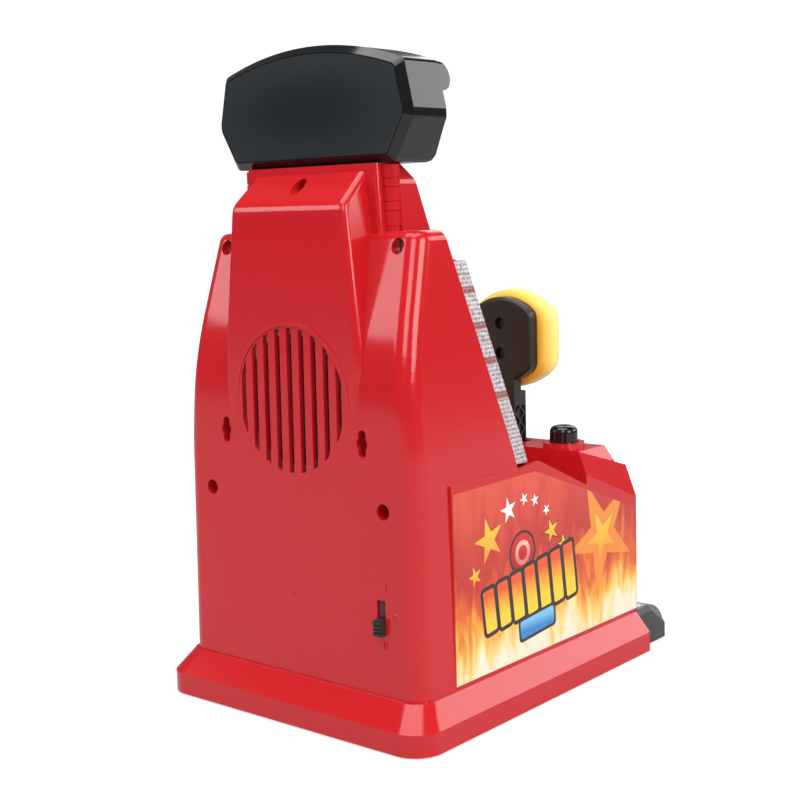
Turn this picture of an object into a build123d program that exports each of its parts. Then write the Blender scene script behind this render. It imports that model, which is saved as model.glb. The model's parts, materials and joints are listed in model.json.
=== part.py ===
"""Table-top boxing punch machine: a tower with a sprung punch pad, built from separate moulded parts.

Millimetres, +Z up, front of the machine towards -Y, left and right mirrored about X = 0.  The origin is
the middle of the footprint on the floor.  Places along Y are worked out from "d", the distance in front
of the plinth's rear edge, because every moulding is set out from that edge.
"""
from build123d import *
from math import cos, radians, sin
import os

os.makedirs("parts", exist_ok=True)

# ---- driving dimensions: the whole machine ------------------------------------------------------------
overall_depth = 209.0          # plinth's rear edge to the front of the token flap
body_half = 68.7               # half the body's width at the foot
wall = 2.2                     # moulded wall of both housings
gap = 0.2                      # clearance between parts that only sit beside each other
run = 0.05                     # radial running clearance of an axle in its bore

foot_z = 0.8                   # the plinth's underside, held off the table by the rubber feet
band_z = 10.3                  # top of the plinth's upright band
seat_z = 19.8                  # top of the plinth, where the housings stand
plinth_margin = 8.4            # how far the plinth stands out beyond the body on each side
plinth_len = 177.2
plinth_corner = 13.0
ledge = 1.7

rear_d = 10.3                  # rear face at the foot
panel_top_d = 13.1             # rear face at the top of the raised panel
part_d = 33.5                  # upright parting line between the rear and front housings
part_z = 106.0                 # level parting line on the sides
bend_z = 154.0                 # where the shoulders start to lean
shoulder_z = 210.2
shoulder_d = 27.9              # rear edge of the shoulder's top
shoulder_half = 60.2
taper_z = 118.0
taper_half = body_half - 1.2

face_foot_d = 91.6             # slanted front face, at its foot
face_foot_z = 107.0
face_top_d = 43.5
neck_z = 238.0                 # top of the neck, where the head stands
bar_depth = 10.0               # clear light bars, measured along d
bar_width = 5.0
bar_top_z = 197.0
bar_inset = 1.5

console_d = 135.0              # rear face of the front console
console_z = 105.0              # its ridge
front_d = 181.0                # front wall
console_front_z = 91.5
plateau_z = 100.3
plateau_half = 49.6
rim_foot_d = 97.4
rim_drop = 0.4514              # slope of the side rims
valley_depth = 3.0

pivot_d = 168.0                # punch arm's axle
pivot_z = 74.0
arm_angle = 50.0               # how far the arm swings back
arm_half = 8.3
arm_depth = 10.0
axle_r = 2.5
hub_r = 7.0
pad_z = 152.5                  # middle of the pad
paddle_w = 37.0
paddle_h = 43.0
paddle_t = 6.0
pad_w = 49.0
pad_h = 51.0
pad_t = 18.0

button_x = -37.0
button_d = 164.0
button_r = 6.9
button_travel = 2.5

head_bottom_half = 46.0
head_wide_half = 56.0
head_top_half = 51.6
head_arch_z = 288.0
head_rear_d = 28.6
head_seam_d = 36.0
head_front_d = 56.0

speaker_z = 139.6
speaker_r = 31.8
grille_r = 31.0

# ---- places worked out from them ----------------------------------------------------------------------
rear_y = overall_depth / 2
plinth_half = body_half + plinth_margin
face_lean = (face_foot_d - face_top_d) / (neck_z - face_foot_z)
face_wall = wall * (1 + face_lean**2) ** 0.5
arm_rear_d = pivot_d - arm_depth / 2


def y(d):
    """Y of a place d in front of the plinth's rear edge."""
    return rear_y - d


def face_d(z):
    """The slanted front face at height z."""
    return face_foot_d - face_lean * (z - face_foot_z)


def edge_d(z):
    """Front edge of the tower's side walls, behind the light bars."""
    return face_d(z) - bar_depth


def rear_at(z):
    """The upright rear face, which leans in a little towards the top."""
    return rear_d + (panel_top_d - rear_d) * (z - seat_z) / (222 - seat_z)


def half_at(z):
    """Half width of the tower at height z."""
    if z <= taper_z:
        return body_half + (taper_half - body_half) * (z - seat_z) / (taper_z - seat_z)
    return taper_half + (shoulder_half - taper_half) * (z - taper_z) / (shoulder_z - taper_z)


def rim_z(d):
    """Top of the side rims beside the valley."""
    return part_z + 0.8 - rim_drop * (d - rim_foot_d)


def console_top(d):
    """Sloping top of the console."""
    return console_z - (console_z - console_front_z) * (d - console_d) / (front_d - console_d)


def side_block(points, half, mode=Mode.ADD, rounded=None, radius=0.0):
    """Side outline, as (d, z) points, made solid from -half to +half across the machine."""
    with BuildSketch(Plane.YZ) as shape:
        with BuildLine():
            Polyline(*[(y(d), z) for d, z in points], close=True)
        make_face()
        if rounded:
            where = Vector(y(rounded[0]), rounded[1])
            fillet(shape.vertices().sort_by_distance(where)[0], radius)
    return extrude(shape.sketch, amount=half, both=True, mode=mode)


def front_block(points, d0, d1, mode=Mode.ADD, rounded=(), radius=0.0):
    """Half outline, as (x, z) points, mirrored and made solid from d0 forward to d1."""
    right = list(points)
    left = [(-x, z) for x, z in reversed(right)]
    with BuildSketch(Plane.XZ.offset(-y(d0))) as shape:
        with BuildLine():
            Polyline(*right, *left, close=True)
        make_face()
        for spot in rounded:
            for side in (spot[0], -spot[0]):
                fillet(shape.vertices().sort_by_distance(Vector(side, spot[1]))[0], radius)
    return extrude(shape.sketch, amount=d1 - d0, mode=mode)


def pair_block(points, d0, d1, mode=Mode.ADD):
    """Closed (x, z) outline on the +X side and its mirror image, made solid from d0 forward to d1."""
    with BuildSketch(Plane.XZ.offset(-y(d0))) as shape:
        for side in (1, -1):
            with BuildLine():
                Polyline(*[(side * x, z) for x, z in points], close=True)
            make_face()
    return extrude(shape.sketch, amount=d1 - d0, mode=mode)


def save(node, name):
    node.part.label = name
    export_step(node.part, f"parts/{name}.step")


def tower(inset, foot, mode=Mode.ADD):
    """Tower outline seen from the side; the inner one is inset all round and open at the front."""
    open_front = 3 * inset
    side_block(
        [
            (rear_at(foot) + inset, foot),
            (rear_at(bend_z) + inset, bend_z),
            (shoulder_d + inset, shoulder_z - inset),
            (edge_d(shoulder_z) + open_front, shoulder_z - inset),
            (edge_d(part_z) + open_front, part_z - open_front),
            (part_d + open_front, part_z - open_front),
            (part_d + open_front, foot),
        ],
        body_half + 5,
        mode=mode,
        rounded=(rear_at(bend_z) + inset, bend_z),
        radius=160,
    )


def tower_sides(inset, foot):
    """Trim to the tower's front outline, which tapers above the waist."""
    front_block(
        [(half_at(foot) - inset, foot), (taper_half - inset, taper_z), (shoulder_half - inset, shoulder_z)],
        0,
        plinth_len,
        mode=Mode.INTERSECT,
        rounded=[(taper_half - inset, taper_z)],
        radius=150,
    )


def soften_tower(part, corner, top, height):
    """Round the two rear corners from foot to shoulder, then the shoulder's top."""
    upright = part.edges().filter_by(
        lambda e: abs(e.center().X) > 50 and e.center().Y > y(30) and e.bounding_box().size.Z > 5
    )
    fillet(upright, corner)
    rim = part.edges().filter_by(
        lambda e: abs(e.center().Z - height) < 0.3 and (abs(e.center().X) > 45 or e.center().Y > y(shoulder_d + 6))
    )
    fillet(rim, top)


# ---- raised panel and neck, which run up the middle of the tower's rear --------------------------------
neck_rear_d = 28.4
neck_half_top = 37.8
neck_half_foot = 40.5
neck_seam_d = 36.0
crease = (27.6, 234.7)
panel_half = 40.0
panel_half_top = 31.6
panel_break_z = 160.0
panel_round = 8.0


def raised_panel(inset, foot, top_cut):
    """Raised panel with a sloping top; the inner one runs past the part it hollows."""
    side_block(
        [
            (rear_at(foot) + inset, foot),
            (panel_top_d + inset, 222 - 0.4 * inset),
            (crease[0] + inset, crease[1] - inset),
            (neck_seam_d + top_cut, crease[1] - inset),
            (neck_seam_d + top_cut, foot),
        ],
        body_half,
        rounded=(panel_top_d + inset, 222 - 0.4 * inset),
        radius=panel_round - inset,
    )
    front_block(
        [
            (panel_half - inset, foot),
            (panel_half - inset, panel_break_z),
            (panel_half_top - inset, neck_z),
        ],
        0,
        plinth_len,
        mode=Mode.INTERSECT,
        rounded=[(panel_half - inset, panel_break_z)],
        radius=120,
    )


def neck(inset, foot, top, d1):
    front_block([(neck_half_foot - inset, foot), (neck_half_top - inset, top)], neck_rear_d + inset, d1)


switch_plate_d = 13.2
switch_screw = 13.6
speaker_d = 14.8               # speaker's flange, inside the rear wall
speaker_flange = 4.2
board_d = 24.0                 # main board stands off the rear wall
board_half = 33.0
board_z0 = 56.0
board_z1 = 90.0
board_spots = [(x, z) for x in (-29.0, 29.0) for z in (board_z0 + 4, board_z1 - 4)]
lug_x = 54.0                   # base screws go up into these lugs
lug_ds = [23.0, 150.0]
lug_r = 4.2
lug_h = 12.0
base_screw_r = 1.5

# ---- rear housing ----------------------------------------------------------------------------------------
with BuildPart() as tower_solid:
    tower(0, seat_z)
    tower_sides(0, seat_z)
    soften_tower(tower_solid, 8.0, 4.5, shoulder_z)

with BuildPart() as tower_void:
    tower(wall, seat_z - 5)
    tower_sides(wall, seat_z - 5)
    soften_tower(tower_void, 8.0 - wall, 4.5 - wall, shoulder_z - wall)

with BuildPart() as panel_solid:
    raised_panel(0, 60, 0)
    rear_edges = panel_solid.edges().filter_by(lambda e: abs(e.center().X) > 30 and e.center().Y > y(26))
    fillet(rear_edges.filter_by(lambda e: e.bounding_box().size.Z > 1), 3.0)

with BuildPart() as panel_void:
    raised_panel(wall, 55, 5)

with BuildPart() as neck_solid:
    neck(0, 190, neck_z, neck_seam_d)
    fillet(neck_solid.edges().filter_by(lambda e: e.center().Y > y(30) and abs(e.center().X) > 30), 2.0)

with BuildPart() as neck_void:
    neck(wall, 180, neck_z + 5, neck_seam_d + 5)

well_r = 3.35                  # screw wells, seen as round holes from behind
screw_head_r = 2.9
screw_r = 1.5
well_wall = 2.0
well_end_d = part_d + 2.5      # rear housing's bosses end here, on the front housing's pillars
pillar_r = 3.6
screw_spots = [(50.8, 97.3), (-50.8, 97.3), (50.2, 204.2), (-50.2, 204.2), (0.0, 229.6)]
keyhole_x = 40.25
keyhole_z = 124.4
keyhole_r = 2.95
keyhole_slot = 2.1
keyhole_half_len = 5.75
keyhole_d = rear_at(keyhole_z)
pocket_depth = 8.0             # room behind each keyhole for the head of a wall screw
pocket_wall = 1.5
slot_w = 3.0                   # speaker grille
slot_pitch = 7.0
slots = 9
switch_x = -48.8
switch_z = 53.0
switch_slot_w = 4.6
switch_slot_h = 14.8
column_x = 39.4
column_r = 4.7
column_d = 36.4
ring_groove = 0.45
ring_heights = [212.0, 218.2, 222.0, 227.9, 231.5, 237.3]


def rod(x, z, radius, d0, d1, mode=Mode.ADD):
    """Round bar or bore lying along the machine, from d0 forward to d1."""
    with BuildSketch(Plane.XZ.offset(-y(d0))) as shape:
        with Locations((x, z)):
            Circle(radius)
    extrude(shape.sketch, amount=d1 - d0, mode=mode)


def post(x, d, radius, z0, z1, mode=Mode.ADD):
    """Upright round bar or bore."""
    with BuildSketch(Plane.XY.offset(z0)) as shape:
        with Locations((x, y(d))):
            Circle(radius)
    extrude(shape.sketch, amount=z1 - z0, mode=mode)


def block(x0, x1, d0, d1, z0, z1, mode=Mode.ADD):
    """Plain block between two corners, with d measured forward."""
    with Locations(((x0 + x1) / 2, (y(d0) + y(d1)) / 2, (z0 + z1) / 2)):
        return Box(abs(x1 - x0), abs(d1 - d0), abs(z1 - z0), mode=mode)


with BuildPart() as well_bosses:
    for well_x, well_z in screw_spots:
        rod(well_x, well_z, well_r + well_wall, rear_d, well_end_d)
    add(tower_solid.part.fuse(panel_solid.part, neck_solid.part), mode=Mode.INTERSECT)

with BuildPart() as rear_housing:
    add(tower_solid.part)
    add(panel_solid.part)
    add(neck_solid.part)
    add(tower_void.part, mode=Mode.SUBTRACT)
    add(panel_void.part, mode=Mode.SUBTRACT)
    add(neck_void.part, mode=Mode.SUBTRACT)
    block(-neck_half_foot, neck_half_foot, neck_seam_d, 80, shoulder_z - 5, neck_z, mode=Mode.SUBTRACT)
    for side in (1, -1):
        for low, high in zip(ring_heights[:-1], ring_heights[1:]):
            post(side * column_x, column_d, column_r, low + ring_groove, high)
        post(side * column_x, column_d, column_r - ring_groove, shoulder_z - 1, ring_heights[-1])
    block(-50, 50, neck_seam_d, 50, shoulder_z, neck_z, mode=Mode.SUBTRACT)
    add(well_bosses.part)
    for well_x, well_z in screw_spots:
        rod(well_x, well_z, well_r, 0, well_end_d - well_wall, mode=Mode.SUBTRACT)
        rod(well_x, well_z, screw_r + 0.1, 0, well_end_d + 1, mode=Mode.SUBTRACT)
    for side in (1, -1):
        pocket_x0 = side * keyhole_x - keyhole_r
        pocket_x1 = side * keyhole_x + keyhole_r
        pocket_z0 = keyhole_z - keyhole_half_len
        pocket_z1 = keyhole_z + keyhole_half_len
        block(pocket_x0 - pocket_wall, pocket_x1 + pocket_wall, keyhole_d + wall - 1, keyhole_d + pocket_depth,
              pocket_z0 - pocket_wall, pocket_z1 + pocket_wall)
        block(pocket_x0, pocket_x1, keyhole_d + wall, keyhole_d + pocket_depth - pocket_wall,
              pocket_z0, pocket_z1, mode=Mode.SUBTRACT)
        with BuildSketch(Plane.XZ.offset(-y(0))) as keyhole:
            with Locations((side * keyhole_x, keyhole_z)):
                Circle(keyhole_r)
                SlotOverall(2 * keyhole_half_len, 2 * keyhole_slot, rotation=90)
        extrude(keyhole.sketch, amount=keyhole_d + wall + 0.5, mode=Mode.SUBTRACT)
    with BuildSketch(Plane.XZ.offset(-y(0))) as grille:
        with Locations((0, speaker_z)):
            Circle(grille_r)
            with GridLocations(slot_pitch, 0, slots, 1):
                Rectangle(slot_w, 2 * grille_r + 2, mode=Mode.INTERSECT)
    extrude(grille.sketch, amount=rear_d + wall + 4, mode=Mode.SUBTRACT)
    block(
        switch_x - switch_slot_w / 2, switch_x + switch_slot_w / 2, 0, rear_d + wall + 4,
        switch_z - switch_slot_h / 2, switch_z + switch_slot_h / 2, mode=Mode.SUBTRACT,
    )
    with BuildSketch(Plane.XZ.offset(-y(rear_d + 1.5))) as speaker_ring:
        with Locations((0, speaker_z)):
            Circle(speaker_r + gap + 1.6)
            Circle(speaker_r + gap, mode=Mode.SUBTRACT)
    extrude(speaker_ring.sketch, amount=speaker_d + speaker_flange - rear_d - 1.5)
    for side in (1, -1):
        post(side * lug_x, lug_ds[0], lug_r, seat_z, seat_z + lug_h)
        block(side * lug_x - 1.5, side * lug_x + 1.5, rear_d + wall - 0.5, lug_ds[0], seat_z, seat_z + lug_h)
        post(side * lug_x, lug_ds[0], base_screw_r, seat_z, seat_z + lug_h - 2, mode=Mode.SUBTRACT)
    for stand_x, stand_z in board_spots:
        rod(stand_x, stand_z, 2.5, rear_d + 1.5, board_d)
        rod(stand_x, stand_z, 1.0, board_d - 6, board_d, mode=Mode.SUBTRACT)
    for side in (1, -1):
        rod(switch_x, switch_z + side * switch_screw, 2.2, rear_d + wall - 0.5, switch_plate_d)
        rod(switch_x, switch_z + side * switch_screw, 1.0, rear_d + 0.8, switch_plate_d, mode=Mode.SUBTRACT)
save(rear_housing, "rear_housing")

# ---- front housing: slanted face, valley, console, front wall and side aprons ---------------------------
web = wall
led_space = 1.8                # room for the light board behind each bar
cap_gap = 0.3
slot_half = arm_half + 1.7     # slot in the console for the punch arm
slot_front_d = pivot_d + arm_depth / 2 + 3.2
boss_r = 10.2
boss_top = plateau_z + 3.2
facet_low = (139.6, 92.7)      # side facet's lower edge, on the side plane
facet_front = (front_d, 76.0)
facet_in = 5.6                 # the facet leans in this far ...
facet_up = 14.5                # ... over this height
facet_plateau = plateau_half + 5.4


def bar_inner_half(z):
    """Inner face of the light bars."""
    return half_at(z) - bar_inset - bar_width


def facet_plane(inset):
    """Side facet on the +X side, moved inwards by inset."""
    run_dir = Vector(0, y(facet_front[0]) - y(facet_low[0]), facet_front[1] - facet_low[1]).normalized()
    rise_dir = Vector(-facet_in, 0, facet_up)
    normal = run_dir.cross(rise_dir).normalized()
    if normal.X < 0:
        normal = normal * -1
    start = Vector(body_half, y(facet_low[0]), facet_low[1])
    return Plane(origin=start - normal * inset, x_dir=run_dir, z_dir=normal)


def trim_facets(inset):
    """Cut the console's two side facets."""
    plane = facet_plane(inset)
    with BuildPart() as waste:
        with BuildSketch(plane):
            Rectangle(160, 90)
        extrude(amount=30)
    return waste.part, waste.part.mirror(Plane.YZ)


def console_volume(inset, foot, mode=Mode.ADD):
    """Body below the side parting line, and the console with its sloping top."""
    side_block(
        [
            (part_d, foot),
            (part_d, part_z),
            (edge_d(part_z) + gap, part_z),
            (rim_foot_d, rim_z(rim_foot_d)),
            (console_d, rim_z(console_d)),
            (console_d, console_z),
            (front_d, console_front_z),
            (front_d, foot),
        ],
        body_half,
        mode=mode,
    )


facet_waste = trim_facets(0)
facet_void = trim_facets(wall)

with BuildPart() as plateau:
    front_block(
        [(facet_plateau + 4, console_front_z - 14), (facet_plateau, console_top(front_d) + 2),
         (plateau_half, plateau_z)],
        console_d + 3,
        front_d,
    )

with BuildPart() as plateau_void:
    front_block(
        [(facet_plateau + 4 - wall, console_front_z - 18), (facet_plateau - wall, console_top(front_d) + 1),
         (plateau_half - wall + 0.6, plateau_z - wall)],
        console_d + 3,
        front_d - wall,
    )

with BuildPart() as lower_void:
    side_block(
        [
            (part_d - 5, seat_z - 5),
            (part_d - 5, 125),
            (face_d(125) - face_wall, 125),
            (face_d(face_foot_z - 3.4) - face_wall + 0.6, face_foot_z - 3.4),
            (console_d + wall, rim_z(console_d + wall) - valley_depth - 1.1 * wall),
            (console_d + wall, console_top(console_d + wall) - 1.05 * wall),
            (front_d - wall, console_top(front_d - wall) - 1.05 * wall),
            (front_d - wall, seat_z - 5),
        ],
        body_half - wall,
    )
    for waste in facet_void:
        add(waste, mode=Mode.SUBTRACT)
    add(plateau_void.part)

pillar_end_d = 112.0
with BuildPart() as pillars:
    for well_x, well_z in screw_spots[:2]:
        rod(well_x, well_z, pillar_r, well_end_d + 0.1, pillar_end_d)
    side_block(
        [
            (well_end_d, 80),
            (well_end_d, face_foot_z - 2),
            (face_d(face_foot_z) - 1, face_foot_z - 2),
            (pillar_end_d + 5, rim_z(pillar_end_d + 5) - valley_depth - 1),
            (pillar_end_d + 5, 80),
        ],
        body_half,
        mode=Mode.INTERSECT,
    )

neck_box_half = 45.0
neck_box_top_half = 43.9
neck_box_round = 5.0


def neck_box(inset, foot, open_rear, mode=Mode.ADD):
    """Upper part of the slanted face, between the shoulders and the head."""
    side_block(
        [
            (neck_seam_d - open_rear, foot),
            (neck_seam_d - open_rear, neck_z - inset),
            (face_d(neck_z - inset) - inset * face_wall / wall, neck_z - inset),
            (face_d(foot) - inset * face_wall / wall, foot),
        ],
        neck_box_half + 5,
        mode=mode,
    )
    front_block(
        [(neck_box_half - inset, foot), (neck_box_top_half - inset, neck_z - 7),
         (neck_half_top - inset, neck_z - inset)],
        0,
        plinth_len,
        mode=Mode.INTERSECT,
        rounded=[(neck_box_top_half - inset, neck_z - 7)],
        radius=neck_box_round,
    )


with BuildPart() as neck_box_solid:
    neck_box(0, shoulder_z, 0)

with BuildPart() as neck_box_void:
    neck_box(wall, shoulder_z - 1, 5)

with BuildPart() as slanted_face:
    side_block(
        [
            (face_d(face_foot_z - 3), face_foot_z - 3),
            (face_d(shoulder_z), shoulder_z),
            (face_d(shoulder_z) - face_wall, shoulder_z),
            (face_d(face_foot_z - 3) - face_wall, face_foot_z - 3),
        ],
        body_half,
    )
    front_block(
        [
            (bar_inner_half(face_foot_z - 3) - cap_gap, face_foot_z - 3),
            (bar_inner_half(taper_z) - cap_gap, taper_z),
            (bar_inner_half(bar_top_z) - cap_gap, bar_top_z + 0.5),
            (neck_box_half, bar_top_z + 0.5),
            (neck_box_half, shoulder_z),
        ],
        0,
        plinth_len,
        mode=Mode.INTERSECT,
    )

# channel behind each light bar: a web beside the bar, a back wall behind its light board, a cap above it
channel_foot = part_z + 0.5
channel_top = shoulder_z - wall - 1.6


def channel_side(x_in, x_out, z0, z1, mode):
    """Trim to a band beside the tapering side wall; x_in and x_out are functions of height."""
    heights = [z0, taper_z, z1]
    pair_block(
        [(x_in(h), h) for h in heights] + [(x_out(h), h) for h in reversed(heights)], 0, plinth_len, mode=mode
    )


with BuildPart() as channel_void:
    side_block(
        [
            (edge_d(channel_foot - 2) - led_space, channel_foot - 2),
            (face_d(channel_foot - 2) + 5, channel_foot - 2),
            (face_d(bar_top_z) + 5, bar_top_z + cap_gap),
            (edge_d(bar_top_z) - led_space, bar_top_z + cap_gap),
        ],
        body_half,
    )
    channel_side(
        lambda h: bar_inner_half(h) - cap_gap, lambda h: half_at(h) + 2, channel_foot - 2, bar_top_z + 1,
        Mode.INTERSECT,
    )

with BuildPart() as cap_void:
    side_block(
        [
            (edge_d(bar_top_z), bar_top_z),
            (face_d(bar_top_z) + 5, bar_top_z),
            (face_d(shoulder_z) + 5, shoulder_z),
            (edge_d(shoulder_z), shoulder_z),
        ],
        body_half,
    )
    pair_block(
        [(neck_box_half, bar_top_z), (body_half, bar_top_z), (body_half, shoulder_z), (neck_box_half, shoulder_z)],
        0, plinth_len, mode=Mode.INTERSECT,
    )

with BuildPart() as channel:
    side_block(
        [
            (edge_d(channel_foot) - led_space - wall, channel_foot),
            (face_d(channel_foot) - face_wall, channel_foot),
            (face_d(channel_top) - face_wall, channel_top),
            (edge_d(channel_top) - led_space - wall, channel_top),
        ],
        body_half,
    )
    channel_side(
        lambda h: bar_inner_half(h) - cap_gap - web, lambda h: half_at(h) - wall - cap_gap,
        channel_foot, channel_top, Mode.INTERSECT,
    )
    add(channel_void.part, mode=Mode.SUBTRACT)
    add(cap_void.part, mode=Mode.SUBTRACT)

with BuildPart() as top_pillars:
    for well_x, well_z in screw_spots[2:4]:
        rod(well_x, well_z, pillar_r, well_end_d + 0.1, edge_d(well_z) - 1)
    rod(screw_spots[4][0], screw_spots[4][1], pillar_r, well_end_d + 0.1, face_d(screw_spots[4][1]) - 1)

neck_slot_d0 = neck_seam_d + 0.8
neck_slot_d1 = neck_slot_d0 + 4.4
head_screw_x = 26.0
head_screw_d = (neck_slot_d0 + neck_slot_d1) / 2
button_board_z = 82.0
button_post = 12.5
coin_x = 38.0
coin_z = 62.0
coin_plate_w = 22.0
coin_plate_h = 32.0

with BuildPart() as lower_solid:
    console_volume(0, seat_z)
    for waste in facet_waste:
        add(waste, mode=Mode.SUBTRACT)
    add(plateau.part)
    corner_edges = lower_solid.edges().filter_by(
        lambda e: abs(e.center().X) > body_half - 8 and abs(e.center().Y - y(front_d)) < 0.1
        and e.bounding_box().size.Z > 8
    )
    fillet(corner_edges, 2.5)

with BuildPart() as front_housing:
    add(lower_solid.part)
    add(lower_void.part, mode=Mode.SUBTRACT)
    add(pillars.part)
    post(button_x, button_d, boss_r, plateau_z - wall - 2, boss_top)
    side_block(
        [
            (face_d(face_foot_z + 6) - 0.0, face_foot_z + 6),
            (face_d(face_foot_z - 1), rim_z(face_d(face_foot_z)) - valley_depth),
            (console_d, rim_z(console_d) - valley_depth),
            (console_d, console_z + 10),
        ],
        body_half - wall,
        mode=Mode.SUBTRACT,
    )
    add(slanted_face.part)
    add(neck_box_solid.part)
    add(neck_box_void.part, mode=Mode.SUBTRACT)
    add(channel.part)
    add(top_pillars.part)
    block(-slot_half, slot_half, console_d - 3, slot_front_d, rim_z(console_d) + 2, console_z + 10,
          mode=Mode.SUBTRACT)
    post(button_x, button_d, button_r + 0.25, plateau_z - 10, boss_top + 1, mode=Mode.SUBTRACT)
    block(coin_x - coin_plate_w / 2 + 1.5, coin_x + coin_plate_w / 2 - 1.5, front_d - wall - 1, front_d + 1,
          coin_z - coin_plate_h / 2 + 1.5, coin_z + coin_plate_h / 2 - 1.5, mode=Mode.SUBTRACT)
    for well_x, well_z in screw_spots:
        rod(well_x, well_z, screw_r, 0, well_end_d + 10, mode=Mode.SUBTRACT)
    for side in (1, -1):
        post(side * lug_x, lug_ds[1], lug_r, seat_z, seat_z + lug_h)
        block(side * lug_x, side * (body_half - wall + 0.5), lug_ds[1] - 1.5, lug_ds[1] + 1.5, seat_z, seat_z + lug_h)
        post(side * lug_x, lug_ds[1], base_screw_r, seat_z, seat_z + lug_h - 2, mode=Mode.SUBTRACT)
        post(button_x, button_d + side * button_post, 2.0, button_board_z, plateau_z - wall + 0.3)
        post(button_x, button_d + side * button_post, 1.0, button_board_z, button_board_z + 8, mode=Mode.SUBTRACT)
        post(side * head_screw_x, head_screw_d, 1.4, neck_z - wall - 2, neck_z + 1, mode=Mode.SUBTRACT)
    block(-12.2, 12.2, neck_slot_d0, neck_slot_d1, neck_z - wall - 1, neck_z + 1, mode=Mode.SUBTRACT)
save(front_housing, "front_housing")

# ---- plinth, feet and base screws ---------------------------------------------------------------------
floor_t = 2.4
base_floor = foot_z + floor_t
foot_r = 6.0
foot_spots = [(side * (plinth_half - 14.0), d) for side in (1, -1) for d in (16.0, plinth_len - 16.0)]
bay_half = 34.0                # battery opening
bay_d0 = 30.0
bay_d1 = 99.5
mouth_half = 13.0              # tokens pass from the chute into the tray
mouth_z0 = 6.0
mouth_z1 = 17.0
head_depth = 6.0
tray_screw_x = 61.5
tray_screw_z = 11.0
cradle_screw_x = 20.0
cradle_screw_d = 164.0


def plinth_outline(z, half, d0, d1, corner):
    with BuildSketch(Plane.XY.offset(z)) as outline:
        with Locations((0, (y(d0) + y(d1)) / 2)):
            Rectangle(2 * half, d1 - d0)
        fillet(outline.vertices().group_by(Axis.Y)[-1], corner)
    return outline.sketch


with BuildPart() as base_plinth:
    extrude(plinth_outline(foot_z, plinth_half, 0, plinth_len, plinth_corner), amount=band_z - foot_z)
    loft([
        plinth_outline(band_z, plinth_half, 0, plinth_len, plinth_corner).face(),
        plinth_outline(seat_z, body_half + ledge, rear_d - ledge, plinth_len - 1.5, 8 + ledge).face(),
    ])
    block(-body_half + wall + 0.3, body_half - wall - 0.3, rear_d + wall + 0.3, plinth_len - 5, base_floor, seat_z,
          mode=Mode.SUBTRACT)
    for side in (1, -1):
        for lug_d in lug_ds:
            post(side * lug_x, lug_d, lug_r, base_floor - 0.4, seat_z)
            post(side * lug_x, lug_d, screw_head_r + 0.3, foot_z, foot_z + head_depth, mode=Mode.SUBTRACT)
            post(side * lug_x, lug_d, base_screw_r + 0.2, foot_z, seat_z, mode=Mode.SUBTRACT)
    block(-bay_half, bay_half, bay_d0, bay_d1, foot_z, base_floor, mode=Mode.SUBTRACT)
    block(coin_x - mouth_half, coin_x + mouth_half, plinth_len - 6, plinth_len + 1, mouth_z0, mouth_z1,
          mode=Mode.SUBTRACT)
    for side in (1, -1):
        rod(side * tray_screw_x, tray_screw_z, 1.4, plinth_len - 6, plinth_len + 1, mode=Mode.SUBTRACT)
        post(side * cradle_screw_x, cradle_screw_d, 1.35, foot_z, base_floor + 1, mode=Mode.SUBTRACT)
        post(side * cradle_screw_x, cradle_screw_d, 2.6, foot_z, foot_z + 1.2, mode=Mode.SUBTRACT)
    for foot_x, foot_d in foot_spots:
        post(foot_x, foot_d, foot_r + 0.1, foot_z, foot_z + 1, mode=Mode.SUBTRACT)
save(base_plinth, "base_plinth")

with BuildPart() as rubber_feet:
    for foot_x, foot_d in foot_spots:
        post(foot_x, foot_d, foot_r, 0, foot_z + 1)
    fillet(rubber_feet.edges().filter_by(lambda e: abs(e.center().Z) < 0.01), 0.4)
save(rubber_feet, "rubber_feet")

with BuildPart() as base_screws:
    for side in (1, -1):
        for lug_d in lug_ds:
            post(side * lug_x, lug_d, screw_head_r, foot_z + head_depth - 2, foot_z + head_depth)
            post(side * lug_x, lug_d, base_screw_r, foot_z + head_depth, seat_z + lug_h - 2)
save(base_screws, "base_screws")

with BuildPart() as housing_screws:
    for well_x, well_z in screw_spots:
        rod(well_x, well_z, screw_head_r, well_end_d - well_wall - 2.2, well_end_d - well_wall)
        rod(well_x, well_z, screw_r, well_end_d - well_wall, min(well_end_d + 10, edge_d(well_z) + 8))
save(housing_screws, "housing_screws")

# ---- battery bay -----------------------------------------------------------------------------------------
cell_r = 7.1
cell_pitch = 14.6
cell_d0 = 34.3
cell_len = 49.0
bay_wall = 1.4
bay_top = seat_z - 0.3
partition_d = 90.6
boss_d = 95.5
cell_z = base_floor + 0.4 + cell_r
cell_xs = [cell_pitch * (n - 1.5) for n in range(4)]

with BuildPart() as battery_box:
    block(-bay_half - 2, bay_half + 2, bay_d0 - 2, bay_d1 + 1.5, base_floor, bay_top)
    block(-bay_half - 2 + bay_wall, bay_half + 2 - bay_wall, bay_d0 - 2 + bay_wall, partition_d, base_floor,
          bay_top - bay_wall, mode=Mode.SUBTRACT)
    block(-bay_half, bay_half, partition_d + bay_wall, bay_d1 + 0.1, base_floor, bay_top - bay_wall,
          mode=Mode.SUBTRACT)
    post(0, boss_d, 2.8, base_floor + 0.2, bay_top - 1)
    post(0, boss_d, 1.2, base_floor, base_floor + 9, mode=Mode.SUBTRACT)
save(battery_box, "battery_box")

with BuildPart() as battery_cells:
    for n, cell_x in enumerate(cell_xs):
        nub_first = n % 2
        start = cell_d0 + (1.0 if nub_first else 0.0)
        rod(cell_x, cell_z, cell_r, start, start + cell_len)
        nub = start - 1.0 if nub_first else start + cell_len
        rod(cell_x, cell_z, 2.7, nub, nub + 1.0)
save(battery_cells, "battery_cells")

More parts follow.
